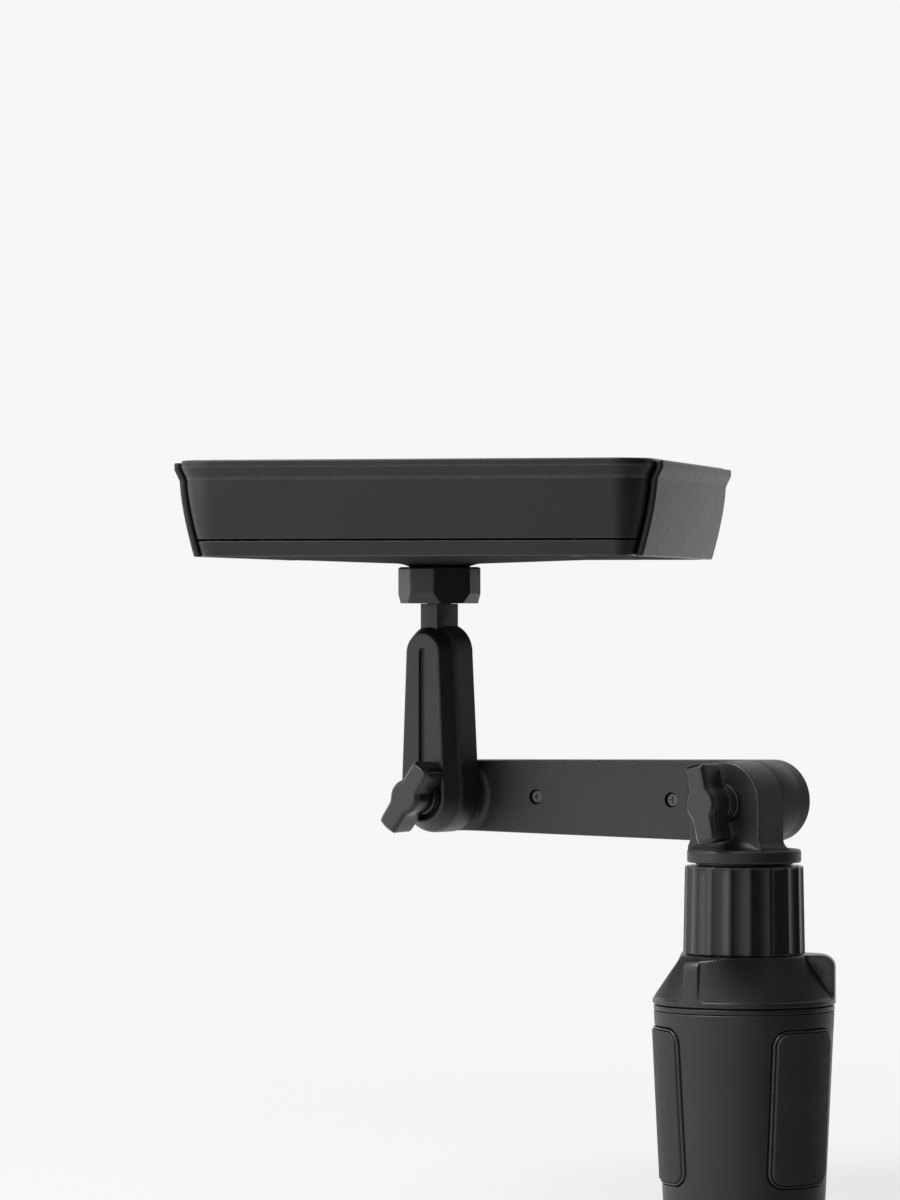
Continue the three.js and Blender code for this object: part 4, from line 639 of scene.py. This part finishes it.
ear_edge, ear_wear_and_sheen = band(3.0, 0, EAR_FRONT, EAR_BACK, [0, 0.8, 0.05, 0])
ear = carried(arch(ear_edge[:, 0]), ear_edge[:, 1])
room = np.sqrt(np.maximum((FLANGE_R - 0.25) ** 2 - ear[..., 1] ** 2, 0))
ear[..., 0] = np.clip(ear[..., 0], -room, room)
flange, flange_wear_and_sheen = eased([(3.0, 109.0), (12.0, 109.0), (12.0, 132.6), (17.4, 132.6), (17.4, FLANGE_Z),
                             (FLANGE_R, FLANGE_Z), (FLANGE_R, FLANGE_TOP), (3.0, FLANGE_TOP)],
                            [0, 0.3, 0.1, 0.2, 0.1, 0.8, 1.2, 0])
seat, seat_wear_and_sheen = band(3.5, 7.0, -12.6, -14.8, [0, 0.1, 0.5, 0])
bracket = [skin(ear, ear_wear_and_sheen), foot_strip(), skin(turned(seat, 72, "y", (0.0, HINGE_Z)), seat_wear_and_sheen)]
bracket = [placed(part, YAW) for part in bracket] + [skin(turned(flange, 120), flange_wear_and_sheen)]
add_piece("swivel_ear", bracket, black, "bracket", ["swivel_bracket"])

# %% [markdown]
# ## Arm
# The arm is two mouldings, a deep front one and a back cover, screwed together from the front. Its outline
# goes round two circles of slightly different size. At the far end its face rises in a round hub, with a
# hollow fillet, to meet the upright. Such a face is a height over the outline, so the front moulding is
# sliced along its length: each slice is a closed loop whose front edge follows that height.

# %% Link outlines and arm mouldings
ARM_LENGTH, ARM_LOWER_R, ARM_UPPER_R = 130.0, 14.8, 13.0
ARM_Y0, ARM_SPLIT, ARM_Y1, ARM_SEAM = 3.0, 15.3, 21.1, 0.06
ARM_LEAN = (ARM_LOWER_R - ARM_UPPER_R) / ARM_LENGTH
ARM_SLOPE = math.sqrt(1 - ARM_LEAN ** 2)


def link(first_r, second_r, length, arc=40):
    """Outlines round two circles, at the origin and at -length along x, joined by their common tangents."""
    first_r, second_r = np.reshape(first_r, (-1, 1)), np.reshape(second_r, (-1, 1))
    lean = np.arccos((first_r - second_r) / length)
    a = lean * np.linspace(-1, 1, arc)
    b = lean + (2 * math.pi - 2 * lean) * np.linspace(0, 1, arc)
    first = np.stack([first_r * np.cos(a), first_r * np.sin(a)], -1)
    second = np.stack([second_r * np.cos(b) - length, second_r * np.sin(b)], -1)
    return np.concatenate([first, second], 1)


def arm_margin(x, z):
    """Distance inward from the outline: from the circles at the ends, from the slanted sides between."""
    run = -ARM_LEAN * np.abs(z) - x * ARM_SLOPE
    sides = ARM_LOWER_R - ARM_SLOPE * np.abs(z) + ARM_LEAN * x
    first, second = ARM_LOWER_R - np.hypot(x, z), ARM_UPPER_R - np.hypot(x + ARM_LENGTH, z)
    return np.where(run < 0, first, np.where(run > ARM_LENGTH, second, sides))


def hub_height(x, z, radius=13.5, fillet=3.0):
    """Rise of the hub above the face: full inside its radius, then the hollow quarter
    f - sqrt(f^2 - (R+f-r)^2)."""
    near = np.clip(radius + fillet - np.hypot(x + ARM_LENGTH, z), 0, fillet)
    return fillet - np.sqrt(fillet ** 2 - near ** 2) + 0.2 * smooth(near / fillet * 8 - 7)


def arm_stations(first=0.02):
    """Places of the slices along x: round the near end, along the sides, close together over the hub's
    fillet, across the hub, and round the far end, which stops just short of its tip."""
    bend = np.linspace(first, math.pi / 2, 24)
    far = -ARM_LENGTH - ARM_UPPER_R * np.sin(bend - first)[1:] * 0.9999
    return np.concatenate([ARM_LOWER_R * np.cos(bend), np.linspace(-4, -108, 14), np.linspace(-110, -121, 56),
                           np.linspace(-121.6, -ARM_LENGTH, 12), far])[:, None]


def front_moulding():
    """Slices along x. The front edge is at y = 3 - hub + ease - sqrt(ease^2 - (ease - margin)^2), and the
    ease fades out beside the ear, which is flush with the arm."""
    x = arm_stations()
    ease = ARM_SEAM + 0.5 * smooth((-x - 8) / 8)
    straight = (ARM_LOWER_R + ARM_LEAN * x) / ARM_SLOPE
    first = np.sqrt(np.maximum(ARM_LOWER_R ** 2 - x ** 2, 1e-6))
    second = np.sqrt(np.maximum(ARM_UPPER_R ** 2 - (x + ARM_LENGTH) ** 2, 1e-6))
    far = x < -ARM_LENGTH + ARM_UPPER_R * ARM_LEAN
    half = np.where(x > ARM_LOWER_R * ARM_LEAN, first, np.where(far, second, straight))
    z = half * np.sin(np.linspace(-math.pi / 2, math.pi / 2, 61))
    margin = np.maximum(arm_margin(x, z), 0)
    lip = np.clip(ease - margin, 0, ease)
    y = ARM_Y0 - hub_height(x, z) + ease - np.sqrt(ease ** 2 - lip ** 2)
    depth = np.broadcast_to(np.array([8.0, ARM_SPLIT - 0.03, ARM_SPLIT]), (len(x), 3))
    top = half * np.array([1.0, 1.0, 0.998])
    across = np.concatenate([y, depth, depth[:, ::-1]], 1)
    height = np.concatenate([z, top, -top[:, ::-1]], 1) + HINGE_Z
    points, _, faces = skin(np.stack([np.broadcast_to(x, across.shape), across, height], -1))
    # Edge wear and painted sheen across the eased front edge, painted lighter by the material
    edge_wear_and_sheen = np.concatenate([4 * lip * (ease - lip) / ease ** 2, np.zeros((len(x), 6))], 1)
    return points, edge_wear_and_sheen.reshape(-1), faces


rear_edge, rear_wear_and_sheen = band(2.0, 0, ARM_SPLIT + ARM_SEAM, ARM_Y1, [0, 0.03, 0.7, 0])
rear_outline = link(ARM_LOWER_R - rear_edge[:, 0], ARM_UPPER_R - rear_edge[:, 0], ARM_LENGTH)
rear_part = skin(carried(rear_outline, rear_edge[:, 1]), rear_wear_and_sheen)

# %% [markdown]
# Screw holes and pockets go into flat faces, where a Boolean is clean. The cutter is a skin like any other,
# the modifier runs once, and its result becomes the new mesh, so the piece has no live modifier.

# %% Holes and pockets in flat faces
SCREW_PLACES, SCREW_HOLE_R, SCREW_SEAT = (-33.5, -93.5), 2.8, 5.9
BOLT_HOLE_R, BOLT_SEAT = 6.3, 17.3


def cut(piece, cutters):
    """Takes closed skins out of a piece."""
    points, _, faces = joined(cutters)
    mesh = new_mesh("cutter", points, faces)
    tool = linked("cutter", mesh)
    step = piece.modifiers.new("cut", "BOOLEAN")
    step.operation, step.solver, step.object, step.use_self = "DIFFERENCE", "EXACT", tool, True
    graph = bpy.context.evaluated_depsgraph_get()
    made = bpy.data.meshes.new_from_object(piece.evaluated_get(graph))
    piece.modifiers.clear()
    piece.data = made
    made.set_sharp_from_angle(angle=math.radians(CREASE))
    bpy.data.objects.remove(tool)
    bpy.data.meshes.remove(mesh)
    print(f"{piece.name}: {len(cutters)} cuts, {len(made.polygons)} faces")


def hole(x, z, radius, y0, y1):
    """Round cutter along y at the arm's own x and z, turned with the arm."""
    return placed(skin(turned(np.array([(radius, y0), (radius, y1)]), 48, "y", (x, z))), YAW)


front = add_piece("arm_front", [placed(front_moulding(), YAW)], black, "arm",
                  ["arm_front_shell"])
cut(front, [hole(x, HINGE_Z, SCREW_HOLE_R, ARM_Y0 - 1.0, SCREW_SEAT) for x in SCREW_PLACES])
rear = add_piece("arm_rear", [placed(rear_part, YAW)], black, "arm", ["arm_rear_shell"])
cut(rear, [hole(x, HINGE_Z, BOLT_HOLE_R, BOLT_SEAT, 22.0) for x in (0.0, -ARM_LENGTH)])

# %% [markdown]
# ## Upright
# The upright is a bar with a bevelled face, round at both ends, with a long groove that runs down behind
# its knob. The rings run from the back, round the bevel, on to the face and down into the groove in one go.
# The knob's round seat and a pocket in the back are cut afterwards, and a square post carries the tray.

# %% Upright and post
RISE = 53.0
BACK_Y, FACE_Y, FLOOR_Y = -0.5, -17.9, -16.5
SLOT_LENGTH, SLOT_START = 44.8, 8.5
KNOB_SEAT_R, KNOB_SEAT_Y = 8.6, -15.3
POST_HALF, POCKET_HALF = 4.0, 5.5


def upright_rings():
    """Bar outlines from the back to the face and then into the groove. Radii shrink along the bevel; the
    last rings are a narrow capsule, the groove's mouth, wall and floor."""
    shape = [(9.0, 6.0, BACK_Y), (13.5, 10.6, BACK_Y), (13.5, 10.6, -11.6), (9.5, 7.3, FACE_Y),
             (7.0, 5.0, FACE_Y)]
    bar, wear_and_sheen = eased(shape, [0, 0.4, 1.6, 0.8, 0], 4)
    groove, groove_wear_and_sheen = eased([(3.0, FACE_Y), (1.5, FACE_Y), (1.5, FLOOR_Y), (0.6, FLOOR_Y)],
                                [0, 0.25, 0.3, 0], 3)
    outer = link(bar[:, 0], bar[:, 1], RISE, 32)
    slot = link(groove[:, 0], groove[:, 0], SLOT_LENGTH, 32) - np.array([SLOT_START, 0])
    outline = np.concatenate([outer, slot])
    y = np.r_[bar[:, 2], groove[:, 1]]
    turned_up = np.stack([outline[..., 1], -outline[..., 0]], -1)
    return carried(turned_up, y) + np.array([-ARM_LENGTH, 0, 0]), np.r_[wear_and_sheen, groove_wear_and_sheen]


post = bar_block(-ARM_LENGTH - POST_HALF, POST_HALF - ARM_LENGTH, -13.7, BACK_Y, 199.0, 226.2, 0.12, 0.5)
stand = [placed(part, YAW) for part in (skin(*upright_rings()), post)]
upright = add_piece("upright_post", stand, black, "upright_bar", ["upright"])
pocket = bar_block(-ARM_LENGTH - POCKET_HALF, POCKET_HALF - ARM_LENGTH, -9.5, 1.0, 172.0, 194.0, 0.3, 0.6)
cut(upright, [hole(-ARM_LENGTH, HINGE_Z, KNOB_SEAT_R, -20.0, KNOB_SEAT_Y), placed(pocket, YAW)])

# %% [markdown]
# ## Wing knobs
# Each hinge is clamped by a knob with two wings. Seen from the front it is a bar with a round hub, so its
# outline is a power mean of two polar curves, a rounded bar and a circle, which gives hollow fillets where
# they meet. The outline is carried along the hinge axis and eased at the front.

# %% Knob outline and knobs
WING_HALF_W, WING_REACH, HUB_R = 4.3, 14.25, 6.3


def wings(inset, turn, p=9, q=10, count=360):
    """Polar outline r = (bar^q + hub^q)^(1/q), with bar = ((|cos|/a)^p + (|sin|/b)^p)^(-1/p). The angles
    crowd together at the wings' ends."""
    inset = np.reshape(inset, (-1, 1))
    angle = np.linspace(0, 2 * math.pi, count, endpoint=False)
    angle = angle + 0.2 * np.sin(2 * angle)
    a, b, hub_r = WING_HALF_W - inset, WING_REACH - inset, HUB_R - inset
    bar = ((np.abs(np.cos(angle)) / a) ** p + (np.abs(np.sin(angle)) / b) ** p) ** (-1 / p)
    r = np.minimum((bar ** q + hub_r ** q) ** (1 / q), b)
    lean = angle - math.radians(turn)
    return np.stack([r * np.cos(lean), r * np.sin(lean)], -1)


def wing_knob(x, foot, turn):
    """Winged body with a chamfered front, on a turned foot disc, both about the hinge axis."""
    body, body_wear_and_sheen = eased([(1.6, foot - 2.0), (0.2, foot - 2.0), (0, foot - 11.8), (1.2, foot - 13.0),
                             (2.6, foot - 13.0)], [0, 0.1, 0.35, 0.35, 0], 4)
    rings = carried(wings(body[:, 0], turn), body[:, 1]) + np.array([x, 0, 0])
    disc, disc_wear_and_sheen = eased([(3.5, foot), (6.7, foot), (6.7, foot - 1.8), (6.1, foot - 2.4),
                             (3.5, foot - 2.4)], [0, 0.3, 0.25, 0.25, 0])
    parts = [skin(rings, body_wear_and_sheen), skin(turned(disc, 72, "y", (x, HINGE_Z)), disc_wear_and_sheen)]
    return [placed(part, YAW) for part in parts]


# Level, body that carries the washer, place along the arm, y of the knob's foot, turn in degrees
for level, base, x, foot, turn in (("lower", "bracket", 0.0, -16.4, -11.5),
                                   ("upper", "upright_bar", -ARM_LENGTH, -16.9, 36.0)):
    add_piece(f"{level}_wing_knob", wing_knob(x, foot, turn), polished, f"{level}_knob_turner",
              [f"{level}_knob"])
    ring, ring_wear_and_sheen = band(3.2, 6.5, foot + 1.3, foot + 0.3, 0.2, 3, True)
    washer = placed(skin(turned(ring, 72, "y", (x, HINGE_Z)), ring_wear_and_sheen, loop=True), YAW)
    add_piece(f"{level}_spacer", [washer], steel, base, [f"{level}_washer"])

# %% [markdown]
# ## Tray nut
# An eight-sided nut holds the tray on its stud. Four faces are wide and four narrow, and the narrow ones
# are cut back below, so its outline changes with the height: each corner is where two neighbouring face
# lines cross. Round rings for the bore close the skin.

# %% Eight-sided nut
PIVOT = np.array([-122.206, 44.9, 0.0])
NUT_R, NUT_Z0, NUT_Z1, NUT_LIP = 15.5, 226.3, 239.8, 232.3
NUT_BORE_R, NUT_SOCKET_R, NUT_TURN = 5.0, 11.4, -58.2
WIDE_REACH, NARROW_REACH = NUT_R * math.cos(math.radians(27)), NUT_R * math.cos(math.radians(18))


def nut_outline(inset, chamfer):
    """Eased corners of one height: a face at distance d and the next at e, 45 degrees on, cross at d along
    the first normal and (e - d cos 45) / sin 45 along the first face."""
    reach = np.tile([WIDE_REACH - inset, NARROW_REACH - inset - chamfer], 4)
    aside = (np.roll(reach, -1) - reach * math.sqrt(0.5)) / math.sqrt(0.5)
    turn = np.radians(NUT_TURN + 45.0 * np.arange(8))
    corners = np.stack([reach * np.cos(turn) - aside * np.sin(turn),
                        reach * np.sin(turn) + aside * np.cos(turn)], -1)
    return eased(corners, 0.55, 3, closed=True)[0]


def nut():
    """Bore, underside, chamfered sides and top as one closed stack of rings. The side's profile lists the
    narrow faces' chamfer, the inset of all faces, and the height."""
    side, wear_and_sheen = eased([(1.9, 0, NUT_Z0), (0, 0, NUT_Z0 + 3.5), (0, 0, NUT_Z1 - 0.6), (0, 0.6, NUT_Z1),
                        (0, 2.0, NUT_Z1)], [0, 0.15, 0.25, 0.25, 0], 2)
    sides = np.stack([nut_outline(inset, chamfer) for chamfer, inset, _ in side])
    turn = np.arctan2(sides[0, :, 1], sides[0, :, 0])
    bore, socket = (r * np.stack([np.cos(turn), np.sin(turn)], -1) for r in (NUT_BORE_R, NUT_SOCKET_R))
    plan = np.concatenate([[bore, bore], sides, [socket, socket]])
    height = np.r_[NUT_LIP, NUT_Z0, side[:, 2], NUT_Z1, NUT_LIP]
    return skin(at_heights(plan, height) + PIVOT, np.r_[0, 0, wear_and_sheen, 0, 0], loop=True)


add_piece("tray_nut_grip", [nut()], grip, "tray_nut", ["tray_ring_nut"])

# %% [markdown]
# ## Tray
# The tray is a pan with slanting walls that flare out under a flat rim. Below it a shallow cover closes the
# underside, with a dark gap between the two and a neck that goes into the nut. Pan and cover are stacks of
# rounded rectangles; the inset of each one comes from the wall's profile.

# %% Wall profile and rings of the tray
TRAY_CENTRE = np.array([-114.706, 44.9, 243.0])
HALF_X, HALF_Y, CORNER, TRAY_WALL = 86.8, 84.0, 14.0, 2.4
BAND_H, PAN_Z, FLOOR_Z, FLARE_Z, RIM_Z, TRAY_H = 5.6, 6.3, 8.3, 28.1, 32.2, 34.7
FLARE_IN, FOOT_IN, WALL_BEND = 2.0, 7.6, 1.5


def wall_inset(z):
    """Inset of the outer wall from the rim: f + (g - f) ((h - z) / h)^1.5 from the foot g to the inset f of
    the flare at height h, then out to the rim."""
    low = FLARE_IN + (FOOT_IN - FLARE_IN) * (np.maximum(FLARE_Z - z, 0) / FLARE_Z) ** WALL_BEND
    return np.where(z < FLARE_Z, low, FLARE_IN * np.clip((RIM_Z - z) / (RIM_Z - FLARE_Z), 0, 1))


def wall_line(low, high, inset=0.0, count=8):
    """Points of the wall between two heights, at a distance inside its outer face."""
    z = np.linspace(low, high, count)
    return np.stack([wall_inset(z) + inset, z], -1)


def tray_rings(profile, arc=14):
    """Rounded rectangles drawn in by the profile's first value, at the height of its second."""
    inset = profile[:, 0]
    plan = rectangle(HALF_X - inset, HALF_Y - inset, np.maximum(CORNER - inset, 1.5), arc)
    return at_heights(plan, profile[:, 1]) + TRAY_CENTRE


def pan():
    """Underside, outer wall, flare, rim, inner wall and floor in one profile."""
    outside, lining = wall_line(PAN_Z, FLARE_Z), wall_line(FLOOR_Z, FLARE_Z, TRAY_WALL)[::-1]
    rim = [(0, RIM_Z), (0, TRAY_H), (TRAY_WALL, TRAY_H), (TRAY_WALL, RIM_Z)]
    corners = np.concatenate([[(wall_inset(PAN_Z) + 6, PAN_Z)], outside, rim, lining, [(20.0, FLOOR_Z)]])
    ease = np.r_[0, 0.3, np.zeros(6), 0.9, 0.5, 0.7, 0.5, 0.5, 0.9, np.zeros(6), 1.6, 0]
    profile, wear_and_sheen = eased(corners, ease, 4)
    return skin(tray_rings(profile), wear_and_sheen)


add_piece("tray_pan", [pan()], black, "tray", ["tray_top"])

# %% [markdown]
# The cover's neck is a turned piece on the pivot. Its faces that look down get a second, rough and barely
# reflective material: painted shade that keeps the underside dark instead of showing the bright floor in its
# sheen.

# %% Cover and neck below the tray
SCREW_X, SCREW_Y, SINK_R, SINK_DEPTH = 58, 67, 3.1, 1.3


def cover():
    """Low band round a flat underside."""
    top = float(wall_inset(BAND_H))
    corners = [(20.0, 0), (FOOT_IN, 0), (top, BAND_H), (top + TRAY_WALL, BAND_H), (10.0, 2.0), (20.0, 2.0)]
    profile, wear_and_sheen = eased(corners, [0, 0.7, 0.3, 0.3, 0.8, 0], 4)
    return skin(tray_rings(profile), wear_and_sheen)


neck, neck_wear_and_sheen = eased([(6.0, 1.0), (70.0, 1.0), (70.0, -0.02), (14.5, -2.0), (11.1, -3.0), (11.1, -10.1),
                         (7.9, -10.1), (7.9, -0.9), (6.0, -0.9)], [0, 0.1, 0, 1.2, 0.6, 0.4, 0.3, 0.2, 0])
neck[:, 1] += TRAY_CENTRE[2]
neck_part = skin(turned(neck, 144, centre=tuple(PIVOT[:2])), neck_wear_and_sheen, loop=True)
cover_piece = add_piece("tray_cover", [cover(), neck_part], black, "tray", ["tray_bottom"])
sink = np.array([(SINK_R, -1.0), (SINK_R, SINK_DEPTH)]) + np.array([0, TRAY_CENTRE[2]])
cut(cover_piece, [skin(turned(sink, 48, centre=(TRAY_CENTRE[0] + x, TRAY_CENTRE[1] + y)))
                  for x in (-SCREW_X, SCREW_X) for y in (-SCREW_Y, SCREW_Y)])
# Faces that look down take the dull copy: painted shade that keeps the underside dark
facing = np.empty(3 * len(cover_piece.data.polygons), np.float32)
cover_piece.data.polygons.foreach_get("normal", facing)
cover_piece.data.materials.append(shaded_underside)
cover_piece.data.polygons.foreach_set("material_index", (facing[2::3] < -0.9).astype(np.int32))

# %% [markdown]
# ## Wings
# The two end walls pull out of the tray on a flat leaf. An end wall follows the tray's own wall profile, so
# it is a stack of long rounded bars, each set in or out as the profile says.

# %% End walls with their leaves
END_X, END_HALF_T, END_HALF_Y, END_DROP = 90.0, 1.4, 71.0, 0.7
LEAF_X, LEAF_HALF_Y, LEAF_Z = (10.0, 81.8), 60.0, (3.3, 5.9)


def wing(side):
    """End wall: long rounded bars stacked up the tray's wall profile. A flat leaf goes in below the
    floor."""
    bends = [FLARE_Z, FLARE_Z + 0.9, RIM_Z - 0.6, RIM_Z, RIM_Z + 0.4]
    rise = np.r_[np.linspace(1.5, FLARE_Z - 0.9, 9), bends] - END_DROP
    top = TRAY_H - END_DROP
    corners = np.concatenate([[(1.2, 0), (0, 0)], np.stack([0 * rise, rise], -1), [(0, top), (1.2, top)]])
    profile, wear_and_sheen = eased(corners, np.r_[0, 0.5, 0 * rise, 0.6, 0], 4)
    inset, height = profile[:, 0], profile[:, 1]
    x = END_X - END_HALF_T - wall_inset(height + END_DROP)
    plan = rectangle(END_HALF_T - inset, END_HALF_Y - inset, np.maximum(1.2 - inset, 0.1), 6)
    plan = (plan + np.stack([x, 0 * x], -1)[:, None]) * np.array([side, 1])
    x0, x1 = sorted(side * end for end in LEAF_X)
    leaf = bar_block(x0, x1, -LEAF_HALF_Y, LEAF_HALF_Y, *LEAF_Z, 0.4)
    return [skin(at_heights(plan, height) + TRAY_CENTRE, wear_and_sheen), (leaf[0] + TRAY_CENTRE, leaf[1], leaf[2])]


for name, side in (("left", -1), ("right", 1)):
    add_piece(f"{name}_end_wall", wing(side), black, f"wing_{name}", [f"{name}_wing"])

# %% [markdown]
# ## Floor, light and camera
# A wide pale floor keeps the shadow. Seen from the camera it is mixed with the background colour, and away
# from the tray it turns into it, so no horizon shows. The studio is bright on the left and behind and dark
# on the right in front: black plastic shows this in its sheen. A large soft lamp lights it from the
# upper left, and a weaker one from the left.

# %% Shader helpers for floor and world
BACK = (0.925, 0.925, 0.925, 1)
DARK_CORNER = (0.897, -0.279, 0.342)  # to the right in front and a little up
VECTOR = "ShaderNodeVectorMath"


def rays(tree):
    """1 for rays that show the background: straight from the camera, mirrored or through glass. The second
    value is 1 for camera rays alone."""
    path = tree.nodes.new("ShaderNodeLightPath").outputs
    mirrored = chain(tree, "MAXIMUM", path["Is Glossy Ray"], path["Is Transmission Ray"])
    return chain(tree, "MAXIMUM", path["Is Camera Ray"], mirrored), path["Is Camera Ray"]


def studio(tree, way):
    """Brightness of the studio in a direction: 1 - 0.97 t^1.3, where t grows from 0 to 1 as the direction
    nears the dark corner."""
    near = chain(tree, "DOT_PRODUCT", way, DARK_CORNER, kind=VECTOR)
    bend = chain(tree, "POWER", ramp(tree, near, 0.0, 1.0, -0.17, 0.82), 1.3)
    return chain(tree, "MULTIPLY_ADD", bend, -0.97, 1.0)


def mixed(tree, share, first, second, end):
    """Two shaders mixed by a share, wired to the tree's end node."""
    made = tree.nodes.new("ShaderNodeMixShader")
    for socket, source in zip(made.inputs, (share, first, second)):
        fill(tree, socket, source)
    fill(tree, tree.nodes[end].inputs["Surface"], made.outputs["Shader"])


# %% Floor
FLOOR_R, FLOOR_SIDES = 14000.0, 96

angle = np.linspace(0, 2 * math.pi, FLOOR_SIDES, endpoint=False)
floor = linked("floor", new_mesh("floor", polar(FLOOR_R, angle, 0.0), [list(range(FLOOR_SIDES))]))
pale = bpy.data.materials.new("pale_floor")
pale.use_nodes = True
tree = pale.node_tree
shader = tree.nodes["Principled BSDF"]
shader.inputs["Base Color"].default_value = (0.80, 0.80, 0.80, 1)
shader.inputs["Roughness"].default_value = 0.9
place = tree.nodes.new("ShaderNodeTexCoord").outputs["Object"]
shown, straight = rays(tree)
around = studio(tree, chain(tree, "NORMALIZE", place, kind=VECTOR))
glow = node(tree, "ShaderNodeEmission", Color=BACK, Strength=chain(tree, "MAXIMUM", around, straight))
fade = ramp(tree, chain(tree, "LENGTH", place, kind=VECTOR), 0.75, 1.0, 0.25, 0.9)
share = chain(tree, "MULTIPLY", shown, fade)
mixed(tree, share, shader.outputs["BSDF"], glow.outputs["Emission"], "Material Output")
floor.data.materials.append(pale)
print("floor:", FLOOR_R * MM, "m to its edge")

# %% World
world = bpy.data.worlds.new("studio")
world.use_nodes = True
bpy.context.scene.world = world
tree = world.node_tree
plain = tree.nodes["Background"]
plain.inputs["Color"].default_value = (1, 1, 1, 1)
plain.inputs["Strength"].default_value = 0.45
around = studio(tree, tree.nodes.new("ShaderNodeTexCoord").outputs["Generated"])
shown, straight = rays(tree)
seen = node(tree, "ShaderNodeBackground", Color=BACK, Strength=chain(tree, "MAXIMUM", around, straight))
mixed(tree, shown, plain.outputs["Background"], seen.outputs["Background"], "World Output")
print("world:", world.name)

# %% Lamps
TARGET = (-0.06, 0.02, 0.15)


def lamp(name, place, size, power):
    """Square area lamp that faces the tray; a lamp looks along its own -Z."""
    light = bpy.data.lights.new(name, "AREA")
    light.shape, light.size, light.energy = "SQUARE", size, power
    made = linked(name, light)
    made.location = place
    way = np.subtract(TARGET, place)
    way = way / np.linalg.norm(way)
    made.rotation_euler = (math.acos(-way[2]), 0, math.atan2(way[1], way[0]) - math.pi / 2)
    print(name, "at", place)


lamp("key", (-0.95, -0.8, 1.75), 1.0, 42)
lamp("left", (-1.7, -0.75, 0.45), 1.2, 5.5)

# %% Camera
AZIMUTH = 12.7

camera = bpy.data.cameras.new("camera")
camera.lens, camera.sensor_width = 171.0, 36.0
camera.shift_y = 0.0125
viewer = linked("camera", camera)
viewer.location = (0.3463, -2.0161, 0.222)
viewer.rotation_euler = (math.pi / 2, 0, math.radians(AZIMUTH))
bpy.context.scene.camera = viewer
bpy.context.scene.view_settings.view_transform = "Standard"
print("camera at", tuple(viewer.location))
